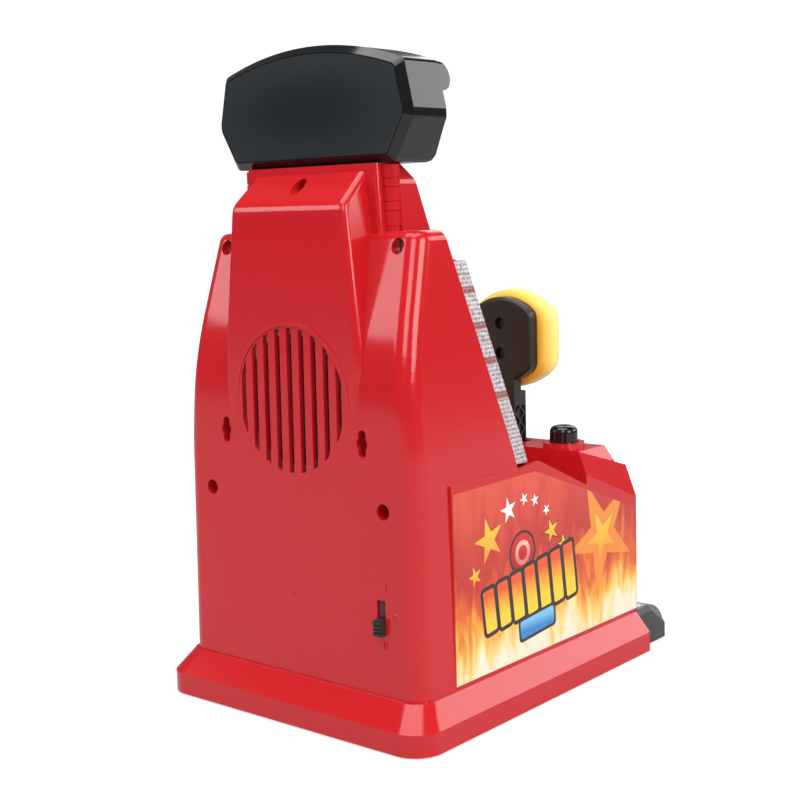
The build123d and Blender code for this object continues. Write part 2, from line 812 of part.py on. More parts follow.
with BuildPart() as battery_contacts:
    rear_plate = bay_d0 - 2 + bay_wall
    for n, cell_x in enumerate(cell_xs):
        for end in (0, 1):
            plate = rear_plate if end == 0 else partition_d - 0.4
            block(cell_x - 5.5, cell_x + 5.5, plate, plate + 0.4, cell_z - 5, cell_z + 5)
            spring_end = (n + end) % 2 == 0
            near = cell_d0 if end == 0 else cell_d0 + cell_len + 1.0
            low, high = (plate + 0.4, near) if end == 0 else (near, plate)
            rod(cell_x, cell_z, 3.4 if spring_end else 2.2, low, high)
            if spring_end:
                rod(cell_x, cell_z, 2.6, low, high, mode=Mode.SUBTRACT)
save(battery_contacts, "battery_contacts")

with BuildPart() as battery_cover:
    block(-bay_half + 0.3, bay_half - 0.3, bay_d0 + 0.3, bay_d1 - 0.3, foot_z, foot_z + 1.8)
    post(0, boss_d, 2.5, foot_z - 0.1, foot_z + 0.8, mode=Mode.SUBTRACT)
    post(0, boss_d, 1.35, foot_z - 0.1, foot_z + 3, mode=Mode.SUBTRACT)
    for rib in range(6):
        block(-14, 14, bay_d0 + 6 + 3 * rib, bay_d0 + 7.4 + 3 * rib, foot_z - 0.1, foot_z + 0.5, mode=Mode.SUBTRACT)
save(battery_cover, "battery_cover")

with BuildPart() as battery_cover_screw:
    post(0, boss_d, 2.3, foot_z + 0.1, foot_z + 0.8)
    post(0, boss_d, 1.2, foot_z + 0.8, base_floor + 8)
save(battery_cover_screw, "battery_cover_screw")

# ---- head ----------------------------------------------------------------------------------------------------
head_chamfer_d = 31.7
head_lip = 3.1                 # the rear face's polished chamfer is this wide
panel_seat = 0.4
head_wall = 2.2
head_core_d = 52.8             # front of the plain part; the brow and chin stand out from it
brow_z = 273.0
brow_r = 6.2
brow_d = 53.6
window_half = 42.0
window_z0 = 244.0
window_z1 = 265.5


def head_outline(inset, d):
    """Head's outline across the machine, drawn in by inset: narrow foot, wide cheeks and an arched top."""
    with BuildSketch(Plane.XZ.offset(-y(d))) as outline:
        with BuildLine():
            Polyline(
                (-head_top_half, 279),
                (-head_wide_half, 259.5),
                (-head_wide_half, 255.5),
                (-head_bottom_half, neck_z),
                (head_bottom_half, neck_z),
                (head_wide_half, 255.5),
                (head_wide_half, 259.5),
                (head_top_half, 279),
            )
            ThreePointArc((-head_top_half, 279), (0, head_arch_z), (head_top_half, 279))
        make_face()
        if inset:
            offset(amount=-inset, kind=Kind.INTERSECTION, mode=Mode.REPLACE)
        fillet(outline.vertices().filter_by(lambda v: v.Z < neck_z + inset + 1), 2.5)
        fillet(outline.vertices().filter_by(lambda v: v.Z > 272 and abs(v.X) > 40), 3.0)
        fillet(outline.vertices().filter_by(lambda v: 250 < v.Z < 265), 2.0)
    return outline.sketch


with BuildPart() as head_rear_bezel:
    loft([head_outline(head_lip, head_rear_d).face(), head_outline(0, head_chamfer_d).face()])
    extrude(head_outline(0, head_chamfer_d), amount=head_seam_d - head_chamfer_d)
    extrude(head_outline(head_lip + panel_seat, head_rear_d - 1), amount=2.2, mode=Mode.SUBTRACT)
    extrude(head_outline(head_wall + 2.5, head_rear_d + 2.4), amount=10, mode=Mode.SUBTRACT)
    extrude(head_outline(head_wall, head_chamfer_d + 1.4), amount=10, mode=Mode.SUBTRACT)
save(head_rear_bezel, "head_rear_bezel")

with BuildPart() as head_rear_panel:
    extrude(head_outline(head_lip + panel_seat + 0.1, head_rear_d), amount=1.2)
save(head_rear_panel, "head_rear_panel")

with BuildPart() as head_brow_chin:
    rod_plane = Plane.YZ.offset(-head_wide_half)
    with BuildSketch(rod_plane):
        with Locations((y(brow_d), brow_z)):
            Circle(brow_r)
        with BuildLine():
            Polyline(
                (y(head_seam_d + 2), neck_z),
                (y(head_seam_d + 2), 257),
                (y(head_core_d), 257),
                (y(head_front_d), 241),
                (y(head_front_d - 1.5), neck_z),
                close=True,
            )
        make_face()
    extrude(amount=2 * head_wide_half)
    extrude(head_outline(0.4, head_seam_d), amount=head_front_d - head_seam_d + 10, mode=Mode.INTERSECT)

with BuildPart() as head_front_shell:
    extrude(head_outline(0, head_seam_d), amount=head_core_d - head_seam_d)
    add(head_brow_chin.part)
    extrude(head_outline(head_wall, head_seam_d - 1), amount=head_core_d - head_wall - head_seam_d + 1,
            mode=Mode.SUBTRACT)
    block(-window_half, window_half, head_core_d - 4, head_front_d + 6, window_z0, window_z1, mode=Mode.SUBTRACT)
    block(-12.0, 12.0, neck_slot_d0 + 0.2, neck_slot_d1 - 0.2, neck_z - 4.2, neck_z + head_wall)
    block(-9.5, 9.5, neck_slot_d0 + 1.3, neck_slot_d1 - 1.3, neck_z - 5, neck_z + head_wall + 1, mode=Mode.SUBTRACT)
    for side in (1, -1):
        post(side * head_screw_x, head_screw_d, 2.6, neck_z + 1, neck_z + head_wall + 2.5)
        post(side * head_screw_x, head_screw_d, 1.2, neck_z, neck_z + head_wall + 2, mode=Mode.SUBTRACT)
save(head_front_shell, "head_front_shell")

with BuildPart() as display_lens:
    block(-window_half + 0.15, window_half - 0.15, head_core_d - 1.6, head_core_d - 0.1, window_z0 + 0.15,
          window_z1 - 0.15)
save(display_lens, "display_lens")

with BuildPart() as display_module:
    block(-window_half + 4, window_half - 4, head_core_d - 10, head_core_d - 2.6, window_z0 + 2, window_z1 - 2)
save(display_module, "display_module")

with BuildPart() as display_board:
    block(-window_half - 2, window_half + 2, head_core_d - 11.6, head_core_d - 10, window_z0 - 1, window_z1 + 2)
save(display_board, "display_board")

# ---- light bars, prints -----------------------------------------------------------------------------------
bar_foot_z = 107.3
board_foot_z = 109.0
board_top_z = 187.0
print_t = 0.3
print_in = 1.2


def build_bar(side):
    with BuildPart() as bar:
        side_block(
            [
                (edge_d(bar_foot_z) + 0.1, bar_foot_z),
                (face_d(bar_foot_z), bar_foot_z),
                (face_d(bar_top_z), bar_top_z),
                (edge_d(bar_top_z) + 0.1, bar_top_z),
            ],
            body_half,
        )
        channel_side(bar_inner_half, lambda h: half_at(h) - bar_inset, bar_foot_z, bar_top_z, Mode.INTERSECT)
        split(bisect_by=Plane.YZ, keep=Keep.TOP if side > 0 else Keep.BOTTOM)
    return bar


def build_led_board(side):
    with BuildPart() as board:
        side_block(
            [
                (edge_d(board_foot_z) - led_space + 0.1, board_foot_z),
                (edge_d(board_foot_z) - 0.1, board_foot_z),
                (edge_d(board_top_z) - 0.1, board_top_z),
                (edge_d(board_top_z) - led_space + 0.1, board_top_z),
            ],
            body_half,
        )
        channel_side(
            lambda h: bar_inner_half(h) + 0.2, lambda h: half_at(h) - wall - cap_gap - 0.4, board_foot_z,
            board_top_z, Mode.INTERSECT,
        )
        split(bisect_by=Plane.YZ, keep=Keep.TOP if side > 0 else Keep.BOTTOM)
    return board


def build_side_sticker(side):
    with BuildPart() as sticker:
        with BuildSketch(Plane.YZ.offset(side * body_half)):
            with BuildLine():
                Polyline(
                    (y(part_d + 0.7), seat_z + print_in),
                    (y(part_d + 0.7), 102.4),
                    (y(93.4), 103.0),
                    (y(front_d - 2.6), 71.4),
                    (y(front_d - 2.6), seat_z + print_in),
                    close=True,
                )
            make_face()
        extrude(amount=side * print_t)
    return sticker


for side, hand in ((-1, "left"), (1, "right")):
    save(build_bar(side), f"light_bar_{hand}")
    save(build_led_board(side), f"led_board_{hand}")
    save(build_side_sticker(side), f"side_sticker_{hand}")

face_print_t = 0.6
print_z0 = 112.0
with BuildPart() as face_print:
    side_block(
        [
            (face_d(print_z0), print_z0),
            (face_d(print_z0) + face_print_t, print_z0),
            (face_d(bar_top_z) + face_print_t, bar_top_z),
            (face_d(bar_top_z), bar_top_z),
        ],
        body_half,
    )
    front_block(
        [(bar_inner_half(print_z0) - 2, print_z0), (bar_inner_half(taper_z) - 2, taper_z),
         (bar_inner_half(bar_top_z) - 2, bar_top_z)],
        0,
        plinth_len,
        mode=Mode.INTERSECT,
    )
save(face_print, "face_print")

with BuildPart() as front_sticker:
    block(-58, coin_x - coin_plate_w / 2 - 3, front_d, front_d + print_t, 24, 72)
save(front_sticker, "front_sticker")

with BuildPart() as head_screws:
    for side in (1, -1):
        post(side * head_screw_x, head_screw_d, 2.3, neck_z - wall - 1.8, neck_z - wall)
        post(side * head_screw_x, head_screw_d, 1.2, neck_z - wall, neck_z + head_wall + 1.8)
save(head_screws, "head_screws")

# ---- punch arm: two knuckles on the axle, a bar and the paddle that carries the pad -------------------
knuckle_half = 10.6
knuckle_gap = 5.0              # the spring sits between the knuckles
bar_z = 126.3                  # the bar thins to the paddle above this
paddle_rise = 8.0
lattice_z0 = 87.0              # raised lattice on both sides of the bar
lattice_z1 = 119.0
lattice_cells = 4
lattice_pitch = (lattice_z1 - lattice_z0) / lattice_cells
lattice_depth = 0.9
lattice_half = 3.8
pad_screw_zs = [145.7, 160.8]
plate_w = 33.0
plate_h = 38.0
plate_t = 3.5
plate_rise = 6.0
pad_rise = 11.0
paddle_front = arm_rear_d + paddle_t
screw_seat_d = paddle_front - 2.2
magnet_z = 96.0


def cross_rod(x0, x1, d, z, radius, mode=Mode.ADD):
    """Round bar or bore lying across the machine."""
    with BuildSketch(Plane.YZ.offset(min(x0, x1))) as shape:
        with Locations((y(d), z)):
            Circle(radius)
    extrude(shape.sketch, amount=abs(x1 - x0), mode=mode)


def side_profile(points, x0, x1, mode=Mode.ADD):
    """Prism across the machine from a closed outline of (d, z) points."""
    with BuildSketch(Plane.YZ.offset(min(x0, x1))) as shape:
        with BuildLine():
            Polyline(*[(y(d), z) for d, z in points], close=True)
        make_face()
    extrude(shape.sketch, amount=abs(x1 - x0), mode=mode)


def arched_plate(width, height, rise, z, d0, d1, corner, mode=Mode.ADD):
    """Plate with straight sides and an outward arc of the given rise at the top and bottom."""
    half = width / 2
    cheek = height / 2 - rise
    with BuildSketch(Plane.XZ.offset(-y(d0))) as shape:
        with BuildLine():
            Line((half, z - cheek), (half, z + cheek))
            ThreePointArc((half, z + cheek), (0, z + height / 2), (-half, z + cheek))
            Line((-half, z + cheek), (-half, z - cheek))
            ThreePointArc((-half, z - cheek), (0, z - height / 2), (half, z - cheek))
        make_face()
        fillet(shape.vertices(), corner)
    extrude(shape.sketch, amount=d1 - d0, mode=mode)


def diamond(middle_z, half_wide, half_high):
    return [(pivot_d - half_wide, middle_z), (pivot_d, middle_z - half_high), (pivot_d + half_wide, middle_z),
            (pivot_d, middle_z + half_high)]


with BuildPart() as punch_arm:
    side_profile(
        [
            (arm_rear_d, pivot_z),
            (arm_rear_d + arm_depth, pivot_z),
            (arm_rear_d + arm_depth, bar_z),
            (paddle_front, bar_z + 0.4),
            (paddle_front, pad_z),
            (arm_rear_d, pad_z),
        ],
        -arm_half,
        arm_half,
    )
    cross_rod(-knuckle_half, knuckle_half, pivot_d, pivot_z, hub_r)
    arched_plate(paddle_w, paddle_h, paddle_rise, pad_z, arm_rear_d, paddle_front, 6)
    rim = punch_arm.edges().filter_by(
        lambda e: abs(e.center().Y - y(arm_rear_d)) < 0.01 and e.center().Z > pad_z - paddle_h / 2 - 0.5
        and e.center().Z > bar_z + 4.7
    )
    fillet(rim, 1.6)
    side_profile(
        [(pivot_d - 12, pivot_z - 12), (pivot_d + 12, pivot_z - 12), (pivot_d + 12, pivot_z + 8.5),
         (pivot_d - 12, pivot_z + 8.5)],
        -knuckle_gap, knuckle_gap, mode=Mode.SUBTRACT,
    )
    cross_rod(-knuckle_half, knuckle_half, pivot_d, pivot_z, axle_r + run, mode=Mode.SUBTRACT)
    for side in (1, -1):
        floor = side * (arm_half - lattice_depth)
        side_profile(
            [(pivot_d - lattice_half, lattice_z0), (pivot_d + lattice_half, lattice_z0),
             (pivot_d + lattice_half, lattice_z1), (pivot_d - lattice_half, lattice_z1)],
            floor, side * (arm_half + 1), mode=Mode.SUBTRACT,
        )
        for n in range(lattice_cells):
            middle = lattice_z0 + lattice_pitch * (n + 0.5)
            side_profile(diamond(middle, lattice_half + 0.3, lattice_pitch / 2 + 0.4), floor, side * arm_half)
            side_profile(diamond(middle, lattice_half - 0.9, lattice_pitch / 2 - 1.1), floor, side * (arm_half + 1),
                         mode=Mode.SUBTRACT)
    cross_rod(arm_half - 2, arm_half, pivot_d, magnet_z, lattice_half + 0.3)
    cross_rod(arm_half - 2, arm_half + 1, pivot_d, magnet_z, 3.0, mode=Mode.SUBTRACT)
    for screw_z in pad_screw_zs:
        rod(0, screw_z, 3.0, arm_rear_d - 1, screw_seat_d, mode=Mode.SUBTRACT)
        rod(0, screw_z, 1.5, arm_rear_d, paddle_front + 1, mode=Mode.SUBTRACT)
save(punch_arm, "punch_arm")

with BuildPart() as arm_magnet:
    cross_rod(arm_half - 2, arm_half - 0.2, pivot_d, magnet_z, 3.0)
save(arm_magnet, "arm_magnet")

with BuildPart() as pad_backing_plate:
    arched_plate(plate_w, plate_h, plate_rise, pad_z, paddle_front, paddle_front + plate_t, 5)
    for screw_z in pad_screw_zs:
        rod(0, screw_z, 1.2, paddle_front, paddle_front + plate_t - 0.6, mode=Mode.SUBTRACT)
save(pad_backing_plate, "pad_backing_plate")

with BuildPart() as pad_screws:
    for screw_z in pad_screw_zs:
        rod(0, screw_z, 2.5, screw_seat_d - 1.6, screw_seat_d)
        rod(0, screw_z, 1.2, screw_seat_d, paddle_front + plate_t - 0.8)
save(pad_screws, "pad_screws")

with BuildPart() as foam_pad:
    arched_plate(pad_w, pad_h, pad_rise, pad_z, paddle_front, paddle_front + pad_t, 9)
    fillet(foam_pad.edges().filter_by(lambda e: abs(e.center().Y - y(paddle_front + pad_t)) < 0.01), 8.5)
    fillet(foam_pad.edges().filter_by(lambda e: abs(e.center().Y - y(paddle_front)) < 0.01), 4)
    arched_plate(plate_w + 0.4, plate_h + 0.4, plate_rise, pad_z, paddle_front - 1, paddle_front + plate_t + 0.2, 5,
                 mode=Mode.SUBTRACT)
save(foam_pad, "foam_pad")

# ---- cradle that carries the axle, its stops, spring and sensor -------------------------------------------
sensor_pegs = [(163.2, 68.6), (174.6, 68.6)]
upright_in = 11.4
upright_out = 15.0
cradle_d0 = 154.0
cradle_d1 = 171.6
stop_d = arm_rear_d + arm_depth
stop_z0 = 84.0
stop_z1 = 91.5
lean = Vector(0, cos(radians(arm_angle)), sin(radians(arm_angle)))   # outwards from the leaning bar's rear face
along = Vector(0, sin(radians(arm_angle)), cos(radians(arm_angle)))


def at_lean(s, t):
    """Point at s along the leaning arm and t behind its middle, as (d, z)."""
    return (
        pivot_d - s * along.Y - t * lean.Y,
        pivot_z + s * along.Z - t * lean.Z,
    )


def lean_profile(s0, s1, t0, t1, x0, x1, mode=Mode.ADD):
    side_profile([at_lean(s0, t0), at_lean(s1, t0), at_lean(s1, t1), at_lean(s0, t1)], x0, x1, mode=mode)


with BuildPart() as arm_cradle:
    block(-24, 24, 157, cradle_d1, base_floor, base_floor + 2.6)
    for side in (1, -1):
        side_profile(
            [
                (157, base_floor),
                (cradle_d1, base_floor),
                (cradle_d1, seat_z + 2),
                (stop_d + 5, 66),
                (stop_d + 5, stop_z1),
                (stop_d + 0.5, stop_z1),
                (stop_d + 0.5, 80),
                (162, 82),
                at_lean(25, arm_depth / 2 + 3.2),
                at_lean(25, arm_depth / 2 + 5.6),
                (150, 62),
                (157, 40),
            ],
            side * upright_in,
            side * upright_out,
        )
    block(-upright_out, upright_out, stop_d + 2.5, stop_d + 5, stop_z0 - 1, stop_z1)
    block(-upright_out, upright_out, 157, 159.5, base_floor, 56)
    lean_profile(13, 25, arm_depth / 2 + 3.2, arm_depth / 2 + 5.6, -upright_out, upright_out)
    block(-upright_out, upright_out, pivot_d - 8, pivot_d - axle_r - 2.65, 57, 62)
    cross_rod(-20, 20, pivot_d, pivot_z, axle_r, mode=Mode.SUBTRACT)
    for side in (1, -1):
        post(side * cradle_screw_x, cradle_screw_d, 1.2, 0, base_floor + 3, mode=Mode.SUBTRACT)
    for peg_d, peg_z in sensor_pegs:
        cross_rod(upright_out - 3, upright_out, peg_d, peg_z, 0.8, mode=Mode.SUBTRACT)
save(arm_cradle, "arm_cradle")

with BuildPart() as cradle_screws:
    for side in (1, -1):
        post(side * cradle_screw_x, cradle_screw_d, 2.4, foot_z + 0.1, foot_z + 1.2)
        post(side * cradle_screw_x, cradle_screw_d, 1.2, foot_z + 1.2, base_floor + 2.6)
save(cradle_screws, "cradle_screws")

with BuildPart() as arm_axle:
    cross_rod(-upright_out - 2.4, upright_out, pivot_d, pivot_z, axle_r)
    cross_rod(upright_out, upright_out + 1.6, pivot_d, pivot_z, 4.2)
    cross_rod(-upright_out - 1.2, -upright_out - 0.3, pivot_d, pivot_z, axle_r + 1, mode=Mode.SUBTRACT)
    cross_rod(-upright_out - 1.2, -upright_out - 0.3, pivot_d, pivot_z, axle_r - 0.5)
save(arm_axle, "arm_axle")

with BuildPart() as axle_clip:
    cross_rod(-upright_out - 1.15, -upright_out - 0.35, pivot_d, pivot_z, 4.4)
    cross_rod(-upright_out - 1.15, -upright_out - 0.35, pivot_d, pivot_z, axle_r - 0.5, mode=Mode.SUBTRACT)
    side_profile(
        [(pivot_d, pivot_z - 1.4), (pivot_d + 6, pivot_z - 1.4), (pivot_d + 6, pivot_z + 1.4), (pivot_d, pivot_z + 1.4)],
        -upright_out - 1.2, -upright_out - 0.3, mode=Mode.SUBTRACT,
    )
save(axle_clip, "axle_clip")

with BuildPart() as front_bumper:
    block(-7, 7, stop_d + 0.2, stop_d + 2.5, stop_z0, stop_z1)
save(front_bumper, "front_bumper")

with BuildPart() as rear_bumper:
    lean_profile(14, 24.5, arm_depth / 2 + 0.2, arm_depth / 2 + 3.2, -7, 7)
save(rear_bumper, "rear_bumper")

wire_r = 0.6
coil_r = 4.2
coil_half = 4.0
with BuildPart() as coil_part:
    with BuildLine() as coil:
        Helix(pitch=1.6, height=2 * coil_half, radius=coil_r)
    with BuildSketch(Plane(origin=coil.line @ 0, z_dir=coil.line % 0)):
        Circle(wire_r)
    sweep(path=coil.line)

with BuildPart() as return_spring:
    turned_coil = coil_part.part.moved(Location((0, 0, 0), (0, 0, 90)))
    add(turned_coil.moved(Location((-coil_half, y(pivot_d), pivot_z), (0, 90, 0))))
    post(-coil_half, pivot_d - coil_r, wire_r, 58, pivot_z)
    post(coil_half, pivot_d - coil_r, wire_r, pivot_z, pivot_z + 6)
save(return_spring, "return_spring")

with BuildPart() as sensor_board:
    side_profile([(161, 66), (177, 66), (177, 91), (161, 91)], upright_out, upright_out + 1.6)
    cross_rod(upright_out - 1, upright_out + 3, pivot_d, pivot_z, 4.6, mode=Mode.SUBTRACT)
    for peg_d, peg_z in sensor_pegs:
        cross_rod(upright_out - 1, upright_out + 3, peg_d, peg_z, 1.0, mode=Mode.SUBTRACT)
    side_profile([(164, 82), (170, 82), (170, 88), (164, 88)], upright_out + 1.6, upright_out + 3.2)
save(sensor_board, "sensor_board")

with BuildPart() as sensor_screws:
    for peg_d, peg_z in sensor_pegs:
        cross_rod(upright_out + 1.6, upright_out + 2.8, peg_d, peg_z, 1.6)
        cross_rod(upright_out - 2.8, upright_out + 1.6, peg_d, peg_z, 0.8)
save(sensor_screws, "sensor_screws")

# ---- start button, its spring and switch ----------------------------------------------------------------------
flange_top = plateau_z - wall - 2 - gap
flange_r = 8.6
button_top = 111.5
stem_foot = button_board_z + 4.4 + button_travel

with BuildPart() as start_button:
    post(button_x, button_d, button_r, flange_top - 0.1, button_top)
    fillet(start_button.edges().filter_by(lambda e: e.center().Z > button_top - 0.01), 3.2)
    post(button_x, button_d, flange_r, flange_top - 2, flange_top)
    post(button_x, button_d, 2.6, stem_foot, flange_top - 1)
save(start_button, "start_button")

with BuildPart() as button_switch:
    with Locations((button_x, y(button_d), button_board_z + 1.7)):
        Box(6.2, 6.2, 3.4)
    post(button_x, button_d, 1.7, button_board_z + 3.4, button_board_z + 4.3)
save(button_switch, "button_switch")

with BuildPart() as button_board:
    block(button_x - 8, button_x + 8, button_d - 15.5, button_d + 14.3, button_board_z - 1.6, button_board_z)
    for side in (1, -1):
        post(button_x, button_d + side * button_post, 1.2, 0, button_board_z + 1, mode=Mode.SUBTRACT)
save(button_board, "button_board")

with BuildPart() as button_board_screws:
    for side in (1, -1):
        post(button_x, button_d + side * button_post, 1.9, button_board_z - 2.9, button_board_z - 1.6)
        post(button_x, button_d + side * button_post, 1.0, button_board_z - 1.6, button_board_z + 6)
save(button_board_screws, "button_board_screws")

button_wire = 0.4
with BuildPart() as button_spring:
    spring_low = button_board_z + button_wire + 0.02
    spring_high = flange_top - 2 - button_wire - 0.05
    with BuildLine(Plane.XY.offset(spring_low)) as coil:
        with Locations((button_x, y(button_d))):
            Helix(pitch=(spring_high - spring_low) / 5, height=spring_high - spring_low, radius=5.2)
    with BuildSketch(Plane(origin=coil.line @ 0, z_dir=coil.line % 0)):
        Circle(button_wire)
    sweep(path=coil.line)
save(button_spring, "button_spring")

# ---- token slot, chute, tray and flap ---------------------------------------------------------------------------
token_w = 3.2
token_h = 26.0
duct_half = 12.8
duct_wall = 1.5

with BuildPart() as coin_slot_plate:
    block(coin_x - coin_plate_w / 2, coin_x + coin_plate_w / 2, front_d, front_d + 1.8, coin_z - coin_plate_h / 2,
          coin_z + coin_plate_h / 2)
    chamfer(coin_slot_plate.edges().filter_by(lambda e: abs(e.center().Y - y(front_d + 1.8)) < 0.01), 0.8)
    block(coin_x - coin_plate_w / 2 + 1.7, coin_x + coin_plate_w / 2 - 1.7, front_d - wall, front_d + 0.1,
          coin_z - coin_plate_h / 2 + 1.7, coin_z + coin_plate_h / 2 - 1.7)
    block(coin_x - token_w / 2, coin_x + token_w / 2, front_d - wall - 1, front_d + 3, coin_z - token_h / 2,
          coin_z + token_h / 2, mode=Mode.SUBTRACT)
save(coin_slot_plate, "coin_slot_plate")

duct_front = front_d - wall - 0.1
with BuildPart() as coin_chute:
    side_profile(
        [(160, base_floor + 0.8), (172, base_floor + 0.8), (172, 24), (duct_front, 31), (duct_front, 80), (167, 80),
         (167, 38), (160, 30)],
        coin_x - duct_half, coin_x + duct_half,
    )
    side_profile(
        [(161.5, base_floor + 2.3), (170.5, base_floor + 2.3), (170.5, 24.6), (duct_front - 1.5, 31.6),
         (duct_front - 1.5, 78.5), (168.5, 78.5), (168.5, 37.4), (161.5, 29.4)],
        coin_x - duct_half + duct_wall, coin_x + duct_half - duct_wall, mode=Mode.SUBTRACT,
    )
    block(coin_x - token_w / 2, coin_x + token_w / 2, duct_front - 3, duct_front + 1, coin_z - token_h / 2,
          coin_z + token_h / 2, mode=Mode.SUBTRACT)
    block(coin_x - duct_half + duct_wall, coin_x + duct_half - duct_wall, 168, 173, mouth_z0, mouth_z1,
          mode=Mode.SUBTRACT)
save(coin_chute, "coin_chute")

tray_d0 = plinth_len + 0.1
tray_d1 = 204.6
tray_half = 71.0
cheek = 4.0
tray_top = 19.6
tray_floor = foot_z + 2.2
lip_d = 206.4
hinge_d = 187.0
hinge_z = 15.6
pin_r = 1.0
knuckle_r = 2.6
flap_half = tray_half - cheek - 0.3

with BuildPart() as coin_tray:
    side_profile(
        [(tray_d0, foot_z), (tray_d0, tray_top), (190, tray_top), (tray_d1, 9), (tray_d1, foot_z)],
        -tray_half, tray_half,
    )
    shoulders = coin_tray.edges().filter_by(
        lambda e: abs(abs(e.center().X) - tray_half) < 0.01 and e.center().Z > 4 and e.center().Y < y(tray_d0 + 0.5)
    )
    chamfer(shoulders, 2.2)
    block(-tray_half + cheek, tray_half - cheek, tray_d0 + 2.2, tray_d1 + 1, tray_floor, tray_top + 1,
          mode=Mode.SUBTRACT)
    block(-flap_half, flap_half, tray_d1 - 1, lip_d, foot_z, tray_floor)
    block(-flap_half + 2.2, flap_half - 2.2, lip_d - 1.2, lip_d, foot_z, tray_floor + 1.6)
    block(coin_x - mouth_half, coin_x + mouth_half, tray_d0 - 1, tray_d0 + 3, mouth_z0, mouth_z1, mode=Mode.SUBTRACT)
    cross_rod(-tray_half + 1.4, tray_half - 1.4, hinge_d, hinge_z, pin_r, mode=Mode.SUBTRACT)
    for side in (1, -1):
        rod(side * tray_screw_x, tray_screw_z, 3.0, tray_d0, tray_d0 + 5)
        rod(side * tray_screw_x, tray_screw_z, 1.2, tray_d0 - 1, tray_d0 + 4, mode=Mode.SUBTRACT)
save(coin_tray, "coin_tray")

with BuildPart() as tray_screws:
    for side in (1, -1):
        rod(side * tray_screw_x, tray_screw_z, 2.4, plinth_len - 6.8, plinth_len - 5)
        rod(side * tray_screw_x, tray_screw_z, 1.2, plinth_len - 5, tray_d0 + 3.8)
save(tray_screws, "tray_screws")

with BuildPart() as flap_pin:
    cross_rod(-tray_half + 1.6, tray_half - 1.6, hinge_d, hinge_z, pin_r)
save(flap_pin, "flap_pin")

flap_d = overall_depth
with BuildPart() as coin_flap:
    with BuildSketch(Plane.YZ.offset(-flap_half)) as flap_shell:
        with BuildLine():
            ThreePointArc(
                (y(hinge_d), hinge_z + knuckle_r), (y(flap_d - 6.6), hinge_z - 0.6), (y(flap_d), 3.6)
            )
            Line((y(flap_d), 3.6), (y(flap_d - 1.8), 3.6))
            ThreePointArc(
                (y(flap_d - 1.8), 3.6), (y(flap_d - 7.9), hinge_z - 2.0), (y(hinge_d), hinge_z + knuckle_r - 1.8)
            )
            Line((y(hinge_d), hinge_z + knuckle_r - 1.8), (y(hinge_d), hinge_z + knuckle_r))
        make_face()
    extrude(flap_shell.sketch, amount=2 * flap_half)
    with BuildSketch(Plane.YZ.offset(-flap_half)) as flap_end:
        with BuildLine():
            ThreePointArc(
                (y(hinge_d), hinge_z + knuckle_r), (y(flap_d - 6.6), hinge_z - 0.6), (y(flap_d), 3.6)
            )
            Polyline(
                (y(flap_d), 3.6), (y(flap_d - 2.0), 3.6), (y(hinge_d), hinge_z - knuckle_r),
                (y(hinge_d), hinge_z + knuckle_r)
            )
        make_face()
    extrude(flap_end.sketch, amount=1.8)
    extrude(flap_end.sketch.moved(Location((2 * flap_half - 1.8, 0, 0))), amount=1.8)
    cross_rod(-flap_half, flap_half, hinge_d, hinge_z, knuckle_r)
    cross_rod(-flap_half, flap_half, hinge_d, hinge_z, pin_r + 0.08, mode=Mode.SUBTRACT)
save(coin_flap, "coin_flap")

# ---- speaker, main board and power switch ---------------------------------------------------------------------
def turned(points):
    """Body turned about the speaker's axis from (radius, d) points."""
    with BuildSketch(Plane.YZ) as half:
        with BuildLine():
            Polyline(*[(y(d), speaker_z + r) for r, d in points], close=True)
        make_face()
    revolve(half.sketch, axis=Axis((0, 0, speaker_z), (0, 1, 0)))


with BuildPart() as speaker_frame:
    turned([(28.4, 14.8), (speaker_r, 14.8), (speaker_r, 16.4), (29.6, 16.4), (17.2, 28.4), (0, 28.4), (0, 27.2),
            (16.6, 27.2), (28.4, 16.0)])
save(speaker_frame, "speaker_frame")

with BuildPart() as speaker_cone:
    turned([(28.2, 15.0), (28.2, 15.6), (24.6, 16.0), (9.0, 24.6), (9.0, 26.0), (0, 26.0), (0, 21.0), (4, 21.4),
            (7.6, 23.6), (23.6, 15.2)])
save(speaker_cone, "speaker_cone")

with BuildPart() as speaker_magnet:
    rod(0, speaker_z, 14, 28.4, 35.4)
    chamfer(speaker_magnet.edges(), 0.5)
save(speaker_magnet, "speaker_magnet")

with BuildPart() as speaker_retainer:
    rod(0, speaker_z, speaker_r, 16.4, 19.0)
    rod(0, speaker_z, 30.0, 16, 20, mode=Mode.SUBTRACT)
save(speaker_retainer, "speaker_retainer")

with BuildPart() as main_board:
    block(-board_half, board_half, board_d, board_d + 1.6, board_z0, board_z1)
    for stand_x, stand_z in board_spots:
        rod(stand_x, stand_z, 1.1, board_d - 1, board_d + 3, mode=Mode.SUBTRACT)
    block(-9, 9, board_d + 1.6, board_d + 3.4, 64, 76)
    block(13, 23, board_d + 1.6, board_d + 4.6, 60, 66)
    block(-24, -14, board_d + 1.6, board_d + 6.6, 78, 84)
    rod(18, 80, 3.2, board_d + 1.6, board_d + 9)
save(main_board, "main_board")

with BuildPart() as board_screws:
    for stand_x, stand_z in board_spots:
        rod(stand_x, stand_z, 2.0, board_d + 1.6, board_d + 3.0)
        rod(stand_x, stand_z, 1.0, board_d - 5, board_d + 1.6)
save(board_screws, "board_screws")

